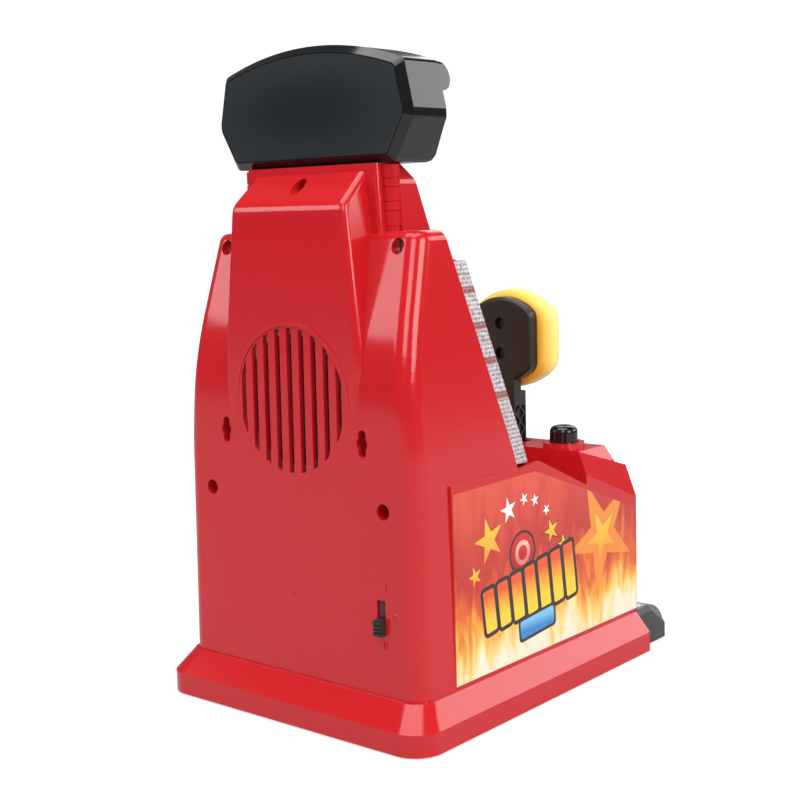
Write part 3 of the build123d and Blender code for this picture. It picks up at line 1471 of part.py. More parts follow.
knob_h = 6.7
knob_travel = 7.5
knob_proud = 2.2
knob_z0 = switch_z - switch_slot_h / 2 + 0.2
with BuildPart() as power_switch_body:
    block(switch_x - 5, switch_x + 5, switch_plate_d, switch_plate_d + 1, switch_z - 17, switch_z + 17)
    block(switch_x - 5, switch_x + 5, switch_plate_d, switch_plate_d + 6.5, switch_z - 10, switch_z + 10)
    block(switch_x - switch_slot_w / 2, switch_x + switch_slot_w / 2, switch_plate_d - 1, switch_plate_d + 3,
          switch_z - switch_slot_h / 2 - 0.2, switch_z + switch_slot_h / 2 + 0.2, mode=Mode.SUBTRACT)
    for side in (1, -1):
        rod(switch_x, switch_z + side * switch_screw, 1.2, switch_plate_d - 1, switch_plate_d + 2, mode=Mode.SUBTRACT)
save(power_switch_body, "power_switch_body")

with BuildPart() as switch_knob:
    block(switch_x - 2.1, switch_x + 2.1, rear_d - knob_proud, switch_plate_d + 2.8, knob_z0, knob_z0 + knob_h)
    for n in range(4):
        low = knob_z0 + 0.5 + 1.6 * n
        block(switch_x - 2.1, switch_x + 2.1, rear_d - knob_proud - 0.7, rear_d - knob_proud, low, low + 0.8)
save(switch_knob, "switch_knob")

with BuildPart() as switch_screws:
    for side in (1, -1):
        rod(switch_x, switch_z + side * switch_screw, 2.0, switch_plate_d + 1, switch_plate_d + 2.2)
        rod(switch_x, switch_z + side * switch_screw, 1.0, rear_d + 1.0, switch_plate_d + 1)
save(switch_screws, "switch_screws")
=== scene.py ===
"""Studio picture of the table-top boxing punch machine: finishes, foam, prints, lights and camera."""
import json
import math

import bpy
from mathutils import Matrix, Vector

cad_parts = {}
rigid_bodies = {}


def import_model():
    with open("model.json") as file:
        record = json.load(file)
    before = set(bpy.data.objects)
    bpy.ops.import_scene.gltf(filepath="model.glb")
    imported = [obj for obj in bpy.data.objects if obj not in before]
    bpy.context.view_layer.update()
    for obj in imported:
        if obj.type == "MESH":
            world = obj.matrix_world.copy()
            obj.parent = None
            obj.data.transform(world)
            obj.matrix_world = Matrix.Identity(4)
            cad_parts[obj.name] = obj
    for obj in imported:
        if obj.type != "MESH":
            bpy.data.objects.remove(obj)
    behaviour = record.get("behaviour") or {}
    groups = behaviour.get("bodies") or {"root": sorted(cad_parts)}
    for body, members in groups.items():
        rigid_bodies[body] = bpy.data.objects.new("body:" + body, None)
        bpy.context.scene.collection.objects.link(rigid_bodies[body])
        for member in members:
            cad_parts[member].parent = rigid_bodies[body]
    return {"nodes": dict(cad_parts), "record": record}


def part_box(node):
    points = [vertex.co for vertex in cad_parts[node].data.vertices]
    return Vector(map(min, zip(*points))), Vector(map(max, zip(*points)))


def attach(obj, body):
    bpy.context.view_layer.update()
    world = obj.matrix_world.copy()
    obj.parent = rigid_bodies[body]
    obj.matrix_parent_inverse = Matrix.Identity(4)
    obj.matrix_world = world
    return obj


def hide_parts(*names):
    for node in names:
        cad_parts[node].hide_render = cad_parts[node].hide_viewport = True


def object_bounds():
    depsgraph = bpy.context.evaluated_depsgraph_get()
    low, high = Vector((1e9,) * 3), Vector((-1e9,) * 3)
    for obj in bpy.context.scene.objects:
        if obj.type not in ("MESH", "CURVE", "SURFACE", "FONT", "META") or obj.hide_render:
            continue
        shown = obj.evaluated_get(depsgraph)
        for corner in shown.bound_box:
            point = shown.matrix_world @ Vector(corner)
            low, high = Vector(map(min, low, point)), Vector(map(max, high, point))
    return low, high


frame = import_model()
cad_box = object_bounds()
nodes = frame["nodes"]

# ---- places taken from the frame -----------------------------------------------------------------
rear_y = cad_box[1].y                          # the plinth's rear edge
rear_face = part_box("rear_housing")[1].y        # the rear housing's outer face at the foot


# ---- small helpers -------------------------------------------------------------------------------
def deselect():
    for obj in bpy.context.view_layer.objects:
        obj.select_set(False)


def new_piece(name):
    """Names the primitive that was just added."""
    obj = bpy.context.object
    obj.name = name
    obj.data.name = name
    return obj


def settle(obj):
    """Puts a finished piece's place into its mesh."""
    deselect()
    obj.select_set(True)
    bpy.context.view_layer.objects.active = obj
    bpy.ops.object.transform_apply(location=True, rotation=True, scale=True)


def apply_modifier(obj, kind, **settings):
    modifier = obj.modifiers.new(kind.title(), kind)
    for key, value in settings.items():
        setattr(modifier, key, value)
    deselect()
    obj.select_set(True)
    bpy.context.view_layer.objects.active = obj
    bpy.ops.object.modifier_apply(modifier=modifier.name)


def finish_piece(obj, body, material):
    settle(obj)
    obj.data.materials.clear()
    obj.data.materials.append(material)
    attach(obj, body)


# ---- shader helpers ------------------------------------------------------------------------------
def start_material(name):
    material = bpy.data.materials.new(name)
    material.use_nodes = True
    tree = material.node_tree
    shader = tree.nodes["Principled BSDF"]
    return material, tree, shader


def node(tree, kind, **settings):
    made = tree.nodes.new(kind)
    for key, value in settings.items():
        setattr(made, key, value)
    return made


def feed(tree, target, value):
    """Links a socket, or sets a plain value."""
    if isinstance(value, bpy.types.NodeSocket):
        tree.links.new(value, target)
    else:
        target.default_value = value


def maths(tree, operation, *values, clamp=False):
    made = node(tree, "ShaderNodeMath", operation=operation, use_clamp=clamp)
    for socket, value in zip(made.inputs, values):
        feed(tree, socket, value)
    return made.outputs[0]


def mix_colour(tree, factor, first, second, blend="MIX"):
    made = node(tree, "ShaderNodeMix", data_type="RGBA", blend_type=blend)
    feed(tree, made.inputs["Factor"], factor)
    feed(tree, made.inputs["A"], first)
    feed(tree, made.inputs["B"], second)
    return made.outputs["Result"]


def ramp(tree, value, stops, interpolation="LINEAR"):
    made = node(tree, "ShaderNodeValToRGB")
    made.color_ramp.interpolation = interpolation
    elements = made.color_ramp.elements
    for element, (place, colour) in zip(elements, stops):
        element.position = place
        element.color = colour
    for place, colour in stops[2:]:
        elements.new(place).color = colour
    feed(tree, made.inputs["Fac"], value)
    return made.outputs["Color"]


def object_place(tree):
    return node(tree, "ShaderNodeTexCoord").outputs["Object"]


def noise(tree, place, scale, detail=2.0, roughness=0.5):
    made = node(tree, "ShaderNodeTexNoise")
    made.inputs["Scale"].default_value = scale
    made.inputs["Detail"].default_value = detail
    made.inputs["Roughness"].default_value = roughness
    feed(tree, made.inputs["Vector"], place)
    return made.outputs["Fac"]


def bump(tree, height, strength, distance, normal=None):
    made = node(tree, "ShaderNodeBump")
    made.inputs["Strength"].default_value = strength
    made.inputs["Distance"].default_value = distance
    feed(tree, made.inputs["Height"], height)
    if normal is not None:
        feed(tree, made.inputs["Normal"], normal)
    return made.outputs["Normal"]


def new_group(name, inputs, outputs):
    """Empty shader group with named inputs (name, kind, value) and outputs (name, kind)."""
    group = bpy.data.node_groups.new(name, "ShaderNodeTree")
    for label, kind, value in inputs:
        socket = group.interface.new_socket(label, in_out="INPUT", socket_type=kind)
        socket.default_value = value
    for label, kind in outputs:
        group.interface.new_socket(label, in_out="OUTPUT", socket_type=kind)
    return group, node(group, "NodeGroupInput"), node(group, "NodeGroupOutput")


def use_group(tree, group, **values):
    made = node(tree, "ShaderNodeGroup", node_tree=group)
    for key, value in values.items():
        feed(tree, made.inputs[key.replace("_", " ")], value)
    return made


FLOAT = "NodeSocketFloat"
COLOUR = "NodeSocketColor"
VECTOR = "NodeSocketVector"


def moulding_group():
    """Injection-moulded skin: broad colour drift, faint sink ripples and an uneven polish."""
    group, given, result = new_group(
        "Moulded skin",
        [("Colour", COLOUR, (0.5, 0.5, 0.5, 1)), ("Drift", FLOAT, 0.06), ("Roughness", FLOAT, 0.2),
         ("Uneven", FLOAT, 0.08), ("Ripple", FLOAT, 0.3), ("Grain", FLOAT, 0.0)],
        [("Colour", COLOUR), ("Roughness", FLOAT), ("Normal", VECTOR)],
    )
    place = object_place(group)
    broad = noise(group, place, 9.0, 2.0)
    shift = maths(group, "SUBTRACT", broad, 0.5)
    gain = maths(group, "MULTIPLY_ADD", shift, given.outputs["Drift"], 1.0)
    tinted = node(group, "ShaderNodeVectorMath", operation="SCALE")
    feed(group, tinted.inputs[0], given.outputs["Colour"])
    feed(group, tinted.inputs["Scale"], gain)
    feed(group, result.inputs["Colour"], tinted.outputs[0])
    smear = noise(group, place, 60.0, 4.0, 0.65)
    rough = maths(group, "MULTIPLY_ADD", maths(group, "SUBTRACT", smear, 0.5), given.outputs["Uneven"],
                  given.outputs["Roughness"])
    feed(group, result.inputs["Roughness"], rough)
    swell = maths(group, "MULTIPLY", noise(group, place, 22.0, 1.0), given.outputs["Ripple"])
    grain = maths(group, "MULTIPLY", noise(group, place, 2600.0, 2.0), given.outputs["Grain"])
    feed(group, result.inputs["Normal"], bump(group, grain, 0.5, 0.0002, bump(group, swell, 0.35, 0.0008)))
    return group


moulded = moulding_group()


def moulding(name, colour, roughness, drift=0.06, uneven=0.08, ripple=0.3, grain=0.0, coat=0.0, ior=1.5):
    """A moulded plastic finish."""
    material, tree, shader = start_material(name)
    skin = use_group(tree, moulded, Colour=(*colour, 1), Drift=drift, Roughness=roughness, Uneven=uneven,
                     Ripple=ripple, Grain=grain)
    for label in ("Colour", "Roughness", "Normal"):
        target = "Base Color" if label == "Colour" else label
        feed(tree, shader.inputs[target], skin.outputs[label])
    shader.inputs["IOR"].default_value = ior
    shader.inputs["Coat Weight"].default_value = coat
    shader.inputs["Coat Roughness"].default_value = 0.04
    return material


def metal(name, colour, roughness, brushed=(200, 200, 2400)):
    """Plain or plated metal with fine drawn lines."""
    material, tree, shader = start_material(name)
    place = node(tree, "ShaderNodeMapping")
    place.inputs["Scale"].default_value = brushed
    feed(tree, place.inputs["Vector"], object_place(tree))
    lines = noise(tree, place.outputs[0], 1.0, 3.0)
    darker = tuple(0.8 * part for part in colour)
    feed(tree, shader.inputs["Base Color"], mix_colour(tree, lines, (*colour, 1), (*darker, 1)))
    feed(tree, shader.inputs["Roughness"], maths(tree, "MULTIPLY_ADD", lines, 0.15, roughness))
    feed(tree, shader.inputs["Normal"], bump(tree, lines, 0.15, 0.0001))
    shader.inputs["Metallic"].default_value = 1.0
    return material


# ---- moulded finishes ----------------------------------------------------------------------------
red_plastic = moulding("Red gloss ABS", (0.56, 0.011, 0.016), 0.13, drift=0.06, uneven=0.05, ripple=0.22)
black_gloss = moulding("Black gloss moulding", (0.006, 0.006, 0.007), 0.1, ripple=0.1)
arm_black = moulding("Arm satin moulding", (0.012, 0.010, 0.010), 0.33, grain=0.6, ripple=0.2)
cheek_grey = moulding("Token unit satin moulding", (0.036, 0.030, 0.029), 0.3, grain=0.4)
rubber = moulding("Soft rubber", (0.02, 0.02, 0.02), 0.6, grain=1.0)
inner_grey = moulding("Inner moulding", (0.28, 0.28, 0.29), 0.45, grain=0.5)
board_green = moulding("Circuit board", (0.02, 0.13, 0.05), 0.35)
cell_jacket = moulding("Cell jacket", (0.05, 0.2, 0.08), 0.25)
ferrite = moulding("Ferrite", (0.05, 0.05, 0.055), 0.55, grain=0.8)
paper_cone = moulding("Speaker cone", (0.03, 0.03, 0.03), 0.75, grain=1.0)
zinc_plate = metal("Zinc plate", (0.62, 0.62, 0.60), 0.22)
dark_screw = metal("Blackened screw", (0.05, 0.05, 0.05), 0.35)
plain_steel = metal("Plain steel", (0.55, 0.55, 0.56), 0.3)
brass_strip = metal("Contact brass", (0.75, 0.55, 0.24), 0.25)


def head_panel_material():
    """Polished blue-black inlay, darker in its middle and greyer towards its lower corner."""
    material, tree, shader = start_material("Head inlay")
    panel_low, panel_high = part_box("head_rear_panel")
    middle = (panel_low + panel_high) / 2
    size = panel_high - panel_low
    centred = node(tree, "ShaderNodeMapping")
    centred.inputs["Location"].default_value = (-middle.x / size.x, 0, -middle.z / size.z)
    centred.inputs["Scale"].default_value = (1 / size.x, 0, 1 / size.z)
    feed(tree, centred.inputs["Vector"], object_place(tree))
    reach = node(tree, "ShaderNodeVectorMath", operation="LENGTH")
    feed(tree, reach.inputs[0], centred.outputs[0])
    colour = ramp(tree, reach.outputs["Value"], [
        (0.1, (0.0075, 0.0105, 0.013, 1)), (0.5, (0.017, 0.022, 0.026, 1)), (0.75, (0.028, 0.034, 0.038, 1))],
        "EASE")
    skin = use_group(tree, moulded, Colour=colour, Drift=0.04, Roughness=0.22, Uneven=0.03, Ripple=0.1,
                     Grain=0.0)
    feed(tree, shader.inputs["Base Color"], skin.outputs["Colour"])
    feed(tree, shader.inputs["Roughness"], skin.outputs["Roughness"])
    feed(tree, shader.inputs["Normal"], skin.outputs["Normal"])
    return material


def clear_bar_material():
    """Milky clear light bar with fine ribs across it and evenly spaced red marks."""
    material, tree, shader = start_material("Ribbed clear bar")
    place = node(tree, "ShaderNodeSeparateXYZ")
    feed(tree, place.inputs[0], object_place(tree))
    height = place.outputs["Z"]
    ribs = maths(tree, "SINE", maths(tree, "MULTIPLY", height, 2 * math.pi / 0.0019))
    sparkle = noise(tree, object_place(tree), 760.0, 2.0)
    pitch = 0.0153
    first = 0.1387
    away = maths(tree, "PINGPONG", maths(tree, "SUBTRACT", height, first), pitch / 2)
    mark = maths(tree, "LESS_THAN", away, 0.0015)
    mark = maths(tree, "MULTIPLY", mark, maths(tree, "GREATER_THAN", height, first - pitch / 2))
    mark = maths(tree, "MULTIPLY", mark, maths(tree, "MULTIPLY_ADD", sparkle, 1.6, -0.1, clamp=True))
    banded = maths(tree, "MULTIPLY_ADD", ribs, 0.12, sparkle)
    shade = ramp(tree, banded, [(0.28, (0.34, 0.27, 0.29, 1)), (0.5, (0.72, 0.64, 0.66, 1)),
                                (0.72, (0.95, 0.92, 0.93, 1))])
    feed(tree, shader.inputs["Base Color"], mix_colour(tree, mark, shade, (0.40, 0.012, 0.03, 1)))
    feed(tree, shader.inputs["Normal"], bump(tree, banded, 0.5, 0.0006))
    shader.inputs["Roughness"].default_value = 0.12
    shader.inputs["Transmission Weight"].default_value = 0.35
    shader.inputs["IOR"].default_value = 1.49
    return material


def clear_flap_material():
    material, tree, shader = start_material("Clear flap")
    haze = noise(tree, object_place(tree), 80.0, 3.0)
    feed(tree, shader.inputs["Roughness"], maths(tree, "MULTIPLY_ADD", haze, 0.1, 0.03))
    feed(tree, shader.inputs["Normal"], bump(tree, haze, 0.1, 0.0005))
    shader.inputs["Base Color"].default_value = (0.90, 0.93, 0.96, 1)
    shader.inputs["Transmission Weight"].default_value = 0.9
    shader.inputs["IOR"].default_value = 1.49
    return material


def tinted_window_material():
    material, tree, shader = start_material("Tinted window")
    haze = noise(tree, object_place(tree), 60.0, 2.0)
    feed(tree, shader.inputs["Roughness"], maths(tree, "MULTIPLY_ADD", haze, 0.04, 0.03))
    shader.inputs["Base Color"].default_value = (0.10, 0.012, 0.014, 1)
    shader.inputs["Transmission Weight"].default_value = 0.6
    shader.inputs["IOR"].default_value = 1.49
    return material


# ---- printed films -------------------------------------------------------------------------------
def star_group():
    """Mask of a five-pointed star in the film's plane: 1 inside, 0 outside."""
    group, given, result = new_group(
        "Printed star",
        [("Across", FLOAT, 0.0), ("Up", FLOAT, 0.0), ("Centre Across", FLOAT, 0.0), ("Centre Up", FLOAT, 0.0),
         ("Size", FLOAT, 0.01), ("Turn", FLOAT, 0.0)],
        [("Mask", FLOAT)],
    )
    across = maths(group, "SUBTRACT", given.outputs["Across"], given.outputs["Centre Across"])
    up = maths(group, "SUBTRACT", given.outputs["Up"], given.outputs["Centre Up"])
    reach = maths(group, "SQRT", maths(group, "ADD", maths(group, "MULTIPLY", across, across),
                                       maths(group, "MULTIPLY", up, up)))
    angle = maths(group, "ADD", maths(group, "ARCTAN2", across, up), given.outputs["Turn"])
    sector = 2 * math.pi / 5
    share = maths(group, "PINGPONG", angle, sector / 2)
    tip_depth = math.radians(18)
    edge = maths(group, "COSINE", maths(group, "SUBTRACT", share, math.pi / 2 - tip_depth))
    limit = maths(group, "DIVIDE", math.sin(tip_depth), maths(group, "MAXIMUM", edge, 0.01))
    ratio = maths(group, "DIVIDE", reach, given.outputs["Size"])
    feed(group, result.inputs["Mask"],
         maths(group, "MULTIPLY", maths(group, "SUBTRACT", limit, ratio), 40.0, clamp=True))
    return group


star_mask = star_group()


def flame_group():
    """Flames rising from the film's foot: white and yellow low down, orange, then red."""
    group, given, result = new_group(
        "Printed flames",
        [("Across", FLOAT, 0.0), ("Up", FLOAT, 0.0), ("Height", FLOAT, 0.08), ("Seed", FLOAT, 0.0)],
        [("Colour", COLOUR)],
    )
    share = maths(group, "DIVIDE", given.outputs["Up"], given.outputs["Height"])
    place = node(group, "ShaderNodeCombineXYZ")
    feed(group, place.inputs[0], maths(group, "MULTIPLY", given.outputs["Across"], 95.0))
    feed(group, place.inputs[1], maths(group, "MULTIPLY", given.outputs["Up"], 26.0))
    feed(group, place.inputs[2], given.outputs["Seed"])
    licks = node(group, "ShaderNodeTexNoise")
    licks.inputs["Scale"].default_value = 1.0
    licks.inputs["Detail"].default_value = 3.0
    licks.inputs["Distortion"].default_value = 0.9
    feed(group, licks.inputs["Vector"], place.outputs[0])
    rise = maths(group, "MULTIPLY_ADD", maths(group, "SUBTRACT", licks.outputs["Fac"], 0.5), -0.75, share)
    wisps = maths(group, "SUBTRACT", noise(group, place.outputs[0], 3.0, 2.0), 0.5)
    fine = maths(group, "MULTIPLY_ADD", wisps, -0.14, rise)
    feed(group, result.inputs["Colour"], ramp(group, fine, [
        (0.0, (0.90, 0.84, 0.66, 1)), (0.12, (0.92, 0.68, 0.22, 1)), (0.24, (0.88, 0.38, 0.04, 1)),
        (0.38, (0.72, 0.12, 0.02, 1)), (0.54, (0.52, 0.03, 0.02, 1)), (0.72, (0.58, 0.045, 0.03, 1)),
        (1.0, (0.72, 0.09, 0.05, 1))]))
    return group


flames = flame_group()


def box_group():
    """Mask of a turned, round-cornered box in the film's plane: 1 inside, 0 outside."""
    group, given, result = new_group(
        "Printed box",
        [("Across", FLOAT, 0.0), ("Up", FLOAT, 0.0), ("Centre Across", FLOAT, 0.0), ("Centre Up", FLOAT, 0.0),
         ("Half Wide", FLOAT, 0.01), ("Half High", FLOAT, 0.01), ("Round", FLOAT, 0.002),
         ("Turn", FLOAT, 0.0)],
        [("Mask", FLOAT)],
    )
    across = maths(group, "SUBTRACT", given.outputs["Across"], given.outputs["Centre Across"])
    up = maths(group, "SUBTRACT", given.outputs["Up"], given.outputs["Centre Up"])
    cosine = maths(group, "COSINE", given.outputs["Turn"])
    sine = maths(group, "SINE", given.outputs["Turn"])
    along = maths(group, "ADD", maths(group, "MULTIPLY", across, cosine), maths(group, "MULTIPLY", up, sine))
    over = maths(group, "SUBTRACT", maths(group, "MULTIPLY", up, cosine),
                 maths(group, "MULTIPLY", across, sine))
    spans = []
    for value, half in ((along, "Half Wide"), (over, "Half High")):
        core = maths(group, "SUBTRACT", given.outputs[half], given.outputs["Round"])
        beyond = maths(group, "SUBTRACT", maths(group, "ABSOLUTE", value), core)
        spans.append(maths(group, "MAXIMUM", beyond, 0.0))
    reach = maths(group, "SQRT", maths(group, "ADD", maths(group, "MULTIPLY", spans[0], spans[0]),
                                       maths(group, "MULTIPLY", spans[1], spans[1])))
    inside = maths(group, "SUBTRACT", given.outputs["Round"], reach)
    feed(group, result.inputs["Mask"], maths(group, "MULTIPLY", inside, 5000.0, clamp=True))
    return group


box_mask = box_group()
YELLOW = (0.93, 0.62, 0.05, 1)
ORANGE = (0.85, 0.30, 0.02, 1)
WHITE = (0.9, 0.88, 0.86, 1)


def print_material(name, corner, size, across_axis, stars, boxes=(), seed=0.0, mirrored=False):
    """Printed film with flames, stars and boxes, all in metres from the film's corner.

    A star is (across, up, size, turn, upper colour, lower colour, strength).
    A box is (across, up, half wide, half high, round, turn, upper colour, lower colour).
    """
    material, tree, shader = start_material(name)
    place = node(tree, "ShaderNodeSeparateXYZ")
    feed(tree, place.inputs[0], object_place(tree))
    start = corner[0] + size[0] if mirrored else corner[0]
    across = maths(tree, "MULTIPLY", maths(tree, "SUBTRACT", place.outputs[across_axis], start),
                   -1.0 if mirrored else 1.0)
    up = maths(tree, "SUBTRACT", place.outputs["Z"], corner[1])
    fire = use_group(tree, flames, Across=across, Up=up, Height=size[1], Seed=seed)
    colour = fire.outputs["Colour"]
    for star_across, star_up, star_size, turn, upper, lower, strength in stars:
        made = use_group(tree, star_mask, Across=across, Up=up, Centre_Across=star_across, Centre_Up=star_up,
                         Size=star_size, Turn=turn)
        height = maths(tree, "SUBTRACT", up, star_up)
        shade = maths(tree, "MULTIPLY_ADD", height, 0.6 / star_size, 0.5, clamp=True)
        fill = mix_colour(tree, shade, lower, upper)
        colour = mix_colour(tree, maths(tree, "MULTIPLY", made.outputs["Mask"], strength), colour, fill)
    for box_across, box_up, wide, high, corner_round, turn, upper, lower in boxes:
        made = use_group(tree, box_mask, Across=across, Up=up, Centre_Across=box_across, Centre_Up=box_up,
                         Half_Wide=wide, Half_High=high, Round=corner_round, Turn=turn)
        height = maths(tree, "SUBTRACT", up, box_up)
        shade = maths(tree, "MULTIPLY_ADD", height, 0.9 / high, 0.4, clamp=True)
        colour = mix_colour(tree, made.outputs["Mask"], colour, mix_colour(tree, shade, lower, upper))
    skin = use_group(tree, moulded, Colour=colour, Drift=0.03, Roughness=0.2, Uneven=0.05, Ripple=0.2,
                     Grain=0.0)
    feed(tree, shader.inputs["Base Color"], skin.outputs["Colour"])
    feed(tree, shader.inputs["Roughness"], skin.outputs["Roughness"])
    feed(tree, shader.inputs["Normal"], skin.outputs["Normal"])
    return material


film_low, film_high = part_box("side_sticker_right")
film_size = (film_high.y - film_low.y, film_high.z - film_low.z)
mm = 0.001
DARK = (0.03, 0.016, 0.014, 1)
side_stars = [
    (113 * mm, 43 * mm, 29 * mm, 0.45, (0.90, 0.36, 0.04, 1), (0.86, 0.26, 0.03, 1), 0.8),
    (113 * mm, 42.5 * mm, 13 * mm, 0.45, YELLOW, ORANGE, 0.9),
    (24.2 * mm, 57.6 * mm, 10.5 * mm, 0.25, YELLOW, ORANGE, 1.0),
    (14 * mm, 44 * mm, 4.6 * mm, 0.3, YELLOW, ORANGE, 1.0),
    (38.6 * mm, 68.2 * mm, 6.0 * mm, 0.2, WHITE, WHITE, 1.0),
    (50.2 * mm, 71.1 * mm, 3.2 * mm, 0.4, WHITE, WHITE, 1.0),
    (58.4 * mm, 69.2 * mm, 3.2 * mm, 0.1, WHITE, WHITE, 1.0),
    (67.2 * mm, 63.3 * mm, 2.8 * mm, 0.5, WHITE, WHITE, 1.0),
    (71 * mm, 53 * mm, 7.5 * mm, 0.3, DARK, DARK, 1.0),
    (71 * mm, 53 * mm, 6.0 * mm, 0.3, YELLOW, ORANGE, 1.0),
    (80.5 * mm, 45 * mm, 6.5 * mm, 0.1, DARK, DARK, 1.0),
    (80.5 * mm, 45 * mm, 5.0 * mm, 0.1, YELLOW, ORANGE, 1.0),
]
BLOCK_TOP = (0.80, 0.10, 0.02, 1)
BLOCK_FOOT = (0.95, 0.62, 0.04, 1)


def meter_emblem():
    """Wordless emblem: a target over a rising row of power-meter blocks, with a blue bar below."""
    target = (48.5 * mm, 47.5 * mm)
    shapes = [
        (*target, 10.0 * mm, 10.0 * mm, 9.9 * mm, 0.0, DARK, DARK),
        (*target, 8.8 * mm, 8.8 * mm, 8.7 * mm, 0.0, (0.66, 0.02, 0.02, 1), (0.40, 0.01, 0.01, 1)),
        (*target, 5.6 * mm, 5.6 * mm, 5.5 * mm, 0.0, (0.9, 0.5, 0.4, 1), (0.75, 0.2, 0.16, 1)),
        (*target, 3.4 * mm, 3.4 * mm, 3.3 * mm, 0.0, (0.66, 0.02, 0.02, 1), (0.45, 0.01, 0.01, 1)),
    ]
    blocks = 7
    block_half, block_round, block_turn = 3.9 * mm, 1.2 * mm, 0.13
    outline = 1.9 * mm
    places = [(24 * mm + n * 10.2 * mm, 27 * mm + n * 0.9 * mm, (9.5 + 0.5 * n) * mm) for n in range(blocks)]
    for grow, upper, lower in ((outline, DARK, DARK), (0.0, BLOCK_TOP, BLOCK_FOOT)):
        for block_across, block_up, high in places:
            shapes.append((block_across, block_up, block_half + grow, high + grow, block_round + grow,
                           block_turn, upper, lower))
    blue_upper, blue_lower = (0.20, 0.55, 0.85, 1), (0.03, 0.22, 0.60, 1)
    shapes.append((59 * mm, 13.5 * mm, 14.5 * mm, 5.6 * mm, 2.4 * mm, 0.08, DARK, DARK))
    shapes.append((59 * mm, 13.5 * mm, 13.1 * mm, 4.2 * mm, 1.4 * mm, 0.08, blue_upper, blue_lower))
    return shapes


side_print = print_material("Side print", (film_low.y, film_low.z), film_size, "Y", side_stars,
                            boxes=meter_emblem(), mirrored=True)
face_low, face_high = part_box("face_print")
face_print = print_material("Face print", (face_low.x, face_low.z), (face_high.x - face_low.x, 0.11), "X", [
    (59 * mm, 62 * mm, 9 * mm, 0.0, YELLOW, ORANGE, 1.0),
    (36 * mm, 46 * mm, 5 * mm, 0.3, YELLOW, ORANGE, 1.0),
    (82 * mm, 46 * mm, 5 * mm, 0.9, YELLOW, ORANGE, 1.0),
], seed=4.0)
front_low, front_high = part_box("front_sticker")
front_size = (front_high.x - front_low.x, 0.055)
front_print = print_material("Front print", (front_low.x, front_low.z), front_size, "X", [
    (41 * mm, 30 * mm, 11 * mm, 0.0, YELLOW, ORANGE, 1.0),
    (20 * mm, 34 * mm, 5 * mm, 0.4, WHITE, WHITE, 1.0),
    (62 * mm, 34 * mm, 5 * mm, 0.8, WHITE, WHITE, 1.0),
], seed=9.0)

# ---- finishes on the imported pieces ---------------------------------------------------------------
finishes = {
    "red_gloss": red_plastic, "black_gloss": black_gloss, "panel_gloss": head_panel_material(),
    "arm_plastic": arm_black, "cheek_plastic": cheek_grey, "clear_ribbed": clear_bar_material(),
    "clear_smoke": clear_flap_material(), "lens_dark": tinted_window_material(), "print_side": side_print,
    "print_face": face_print, "white_cone": paper_cone, "steel": plain_steel, "zinc": zinc_plate,
    "magnet_black": ferrite, "board_green": board_green, "rubber_black": rubber, "cell_label": cell_jacket,
    "inner_grey": inner_grey, "brass": brass_strip, "foam_yellow": arm_black,
}
slot_of = {s["node"]: s["material_slot"] for s in frame["record"]["subparts"]}
for name, obj in nodes.items():
    finish = finishes[slot_of[name]]
    if name == "front_sticker":
        finish = front_print
    if name == "pad_screws":
        finish = dark_screw
    if not obj.material_slots:
        obj.data.materials.append(finish)
    for place in obj.material_slots:
        place.material = finish


# ---- foam punch pad ------------------------------------------------------------------------------
def foam_material():
    """Skinned yellow foam: fine cells, with painted shade that deepens the colour to dark orange towards the
    rear, beside the backing plate.
    """
    material, tree, shader = start_material("Skinned foam")
    place = object_place(tree)
    pad_low, pad_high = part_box("foam_pad")
    apart = node(tree, "ShaderNodeSeparateXYZ")
    feed(tree, apart.inputs[0], place)
    # Painted shade: the colour runs from the foam's own yellow at the front to a darker orange at the rear,
    # where shade falls beside the backing plate.
    behind_front = maths(tree, "SUBTRACT", apart.outputs["Y"], pad_low.y)
    depth = maths(tree, "DIVIDE", behind_front, pad_high.y - pad_low.y, clamp=True)
    foam_colour_with_painted_rear_shade = ramp(tree, depth, [(0.0, (0.97, 0.84, 0.32, 1)), (0.6, (0.96, 0.79, 0.22, 1)),
                              (1.0, (0.90, 0.52, 0.03, 1))])
    mottled = mix_colour(tree, maths(tree, "MULTIPLY", noise(tree, place, 140.0, 3.0), 0.18), foam_colour_with_painted_rear_shade,
                         (0.95, 0.80, 0.30, 1))
    feed(tree, shader.inputs["Base Color"], mottled)
    cells = node(tree, "ShaderNodeTexVoronoi")
    cells.inputs["Scale"].default_value = 2400.0
    feed(tree, cells.inputs["Vector"], place)
    feed(tree, shader.inputs["Normal"], bump(tree, cells.outputs["Distance"], 0.25, 0.0002,
                                             bump(tree, noise(tree, place, 60.0, 3.0), 0.2, 0.001)))
    feed(tree, shader.inputs["Roughness"], maths(tree, "MULTIPLY_ADD", noise(tree, place, 300.0), 0.15, 0.42))
    shader.inputs["Subsurface Weight"].default_value = 0.15
    shader.inputs["Subsurface Radius"].default_value = (0.006, 0.003, 0.001)
    shader.inputs["Subsurface Scale"].default_value = 1.0
    return material


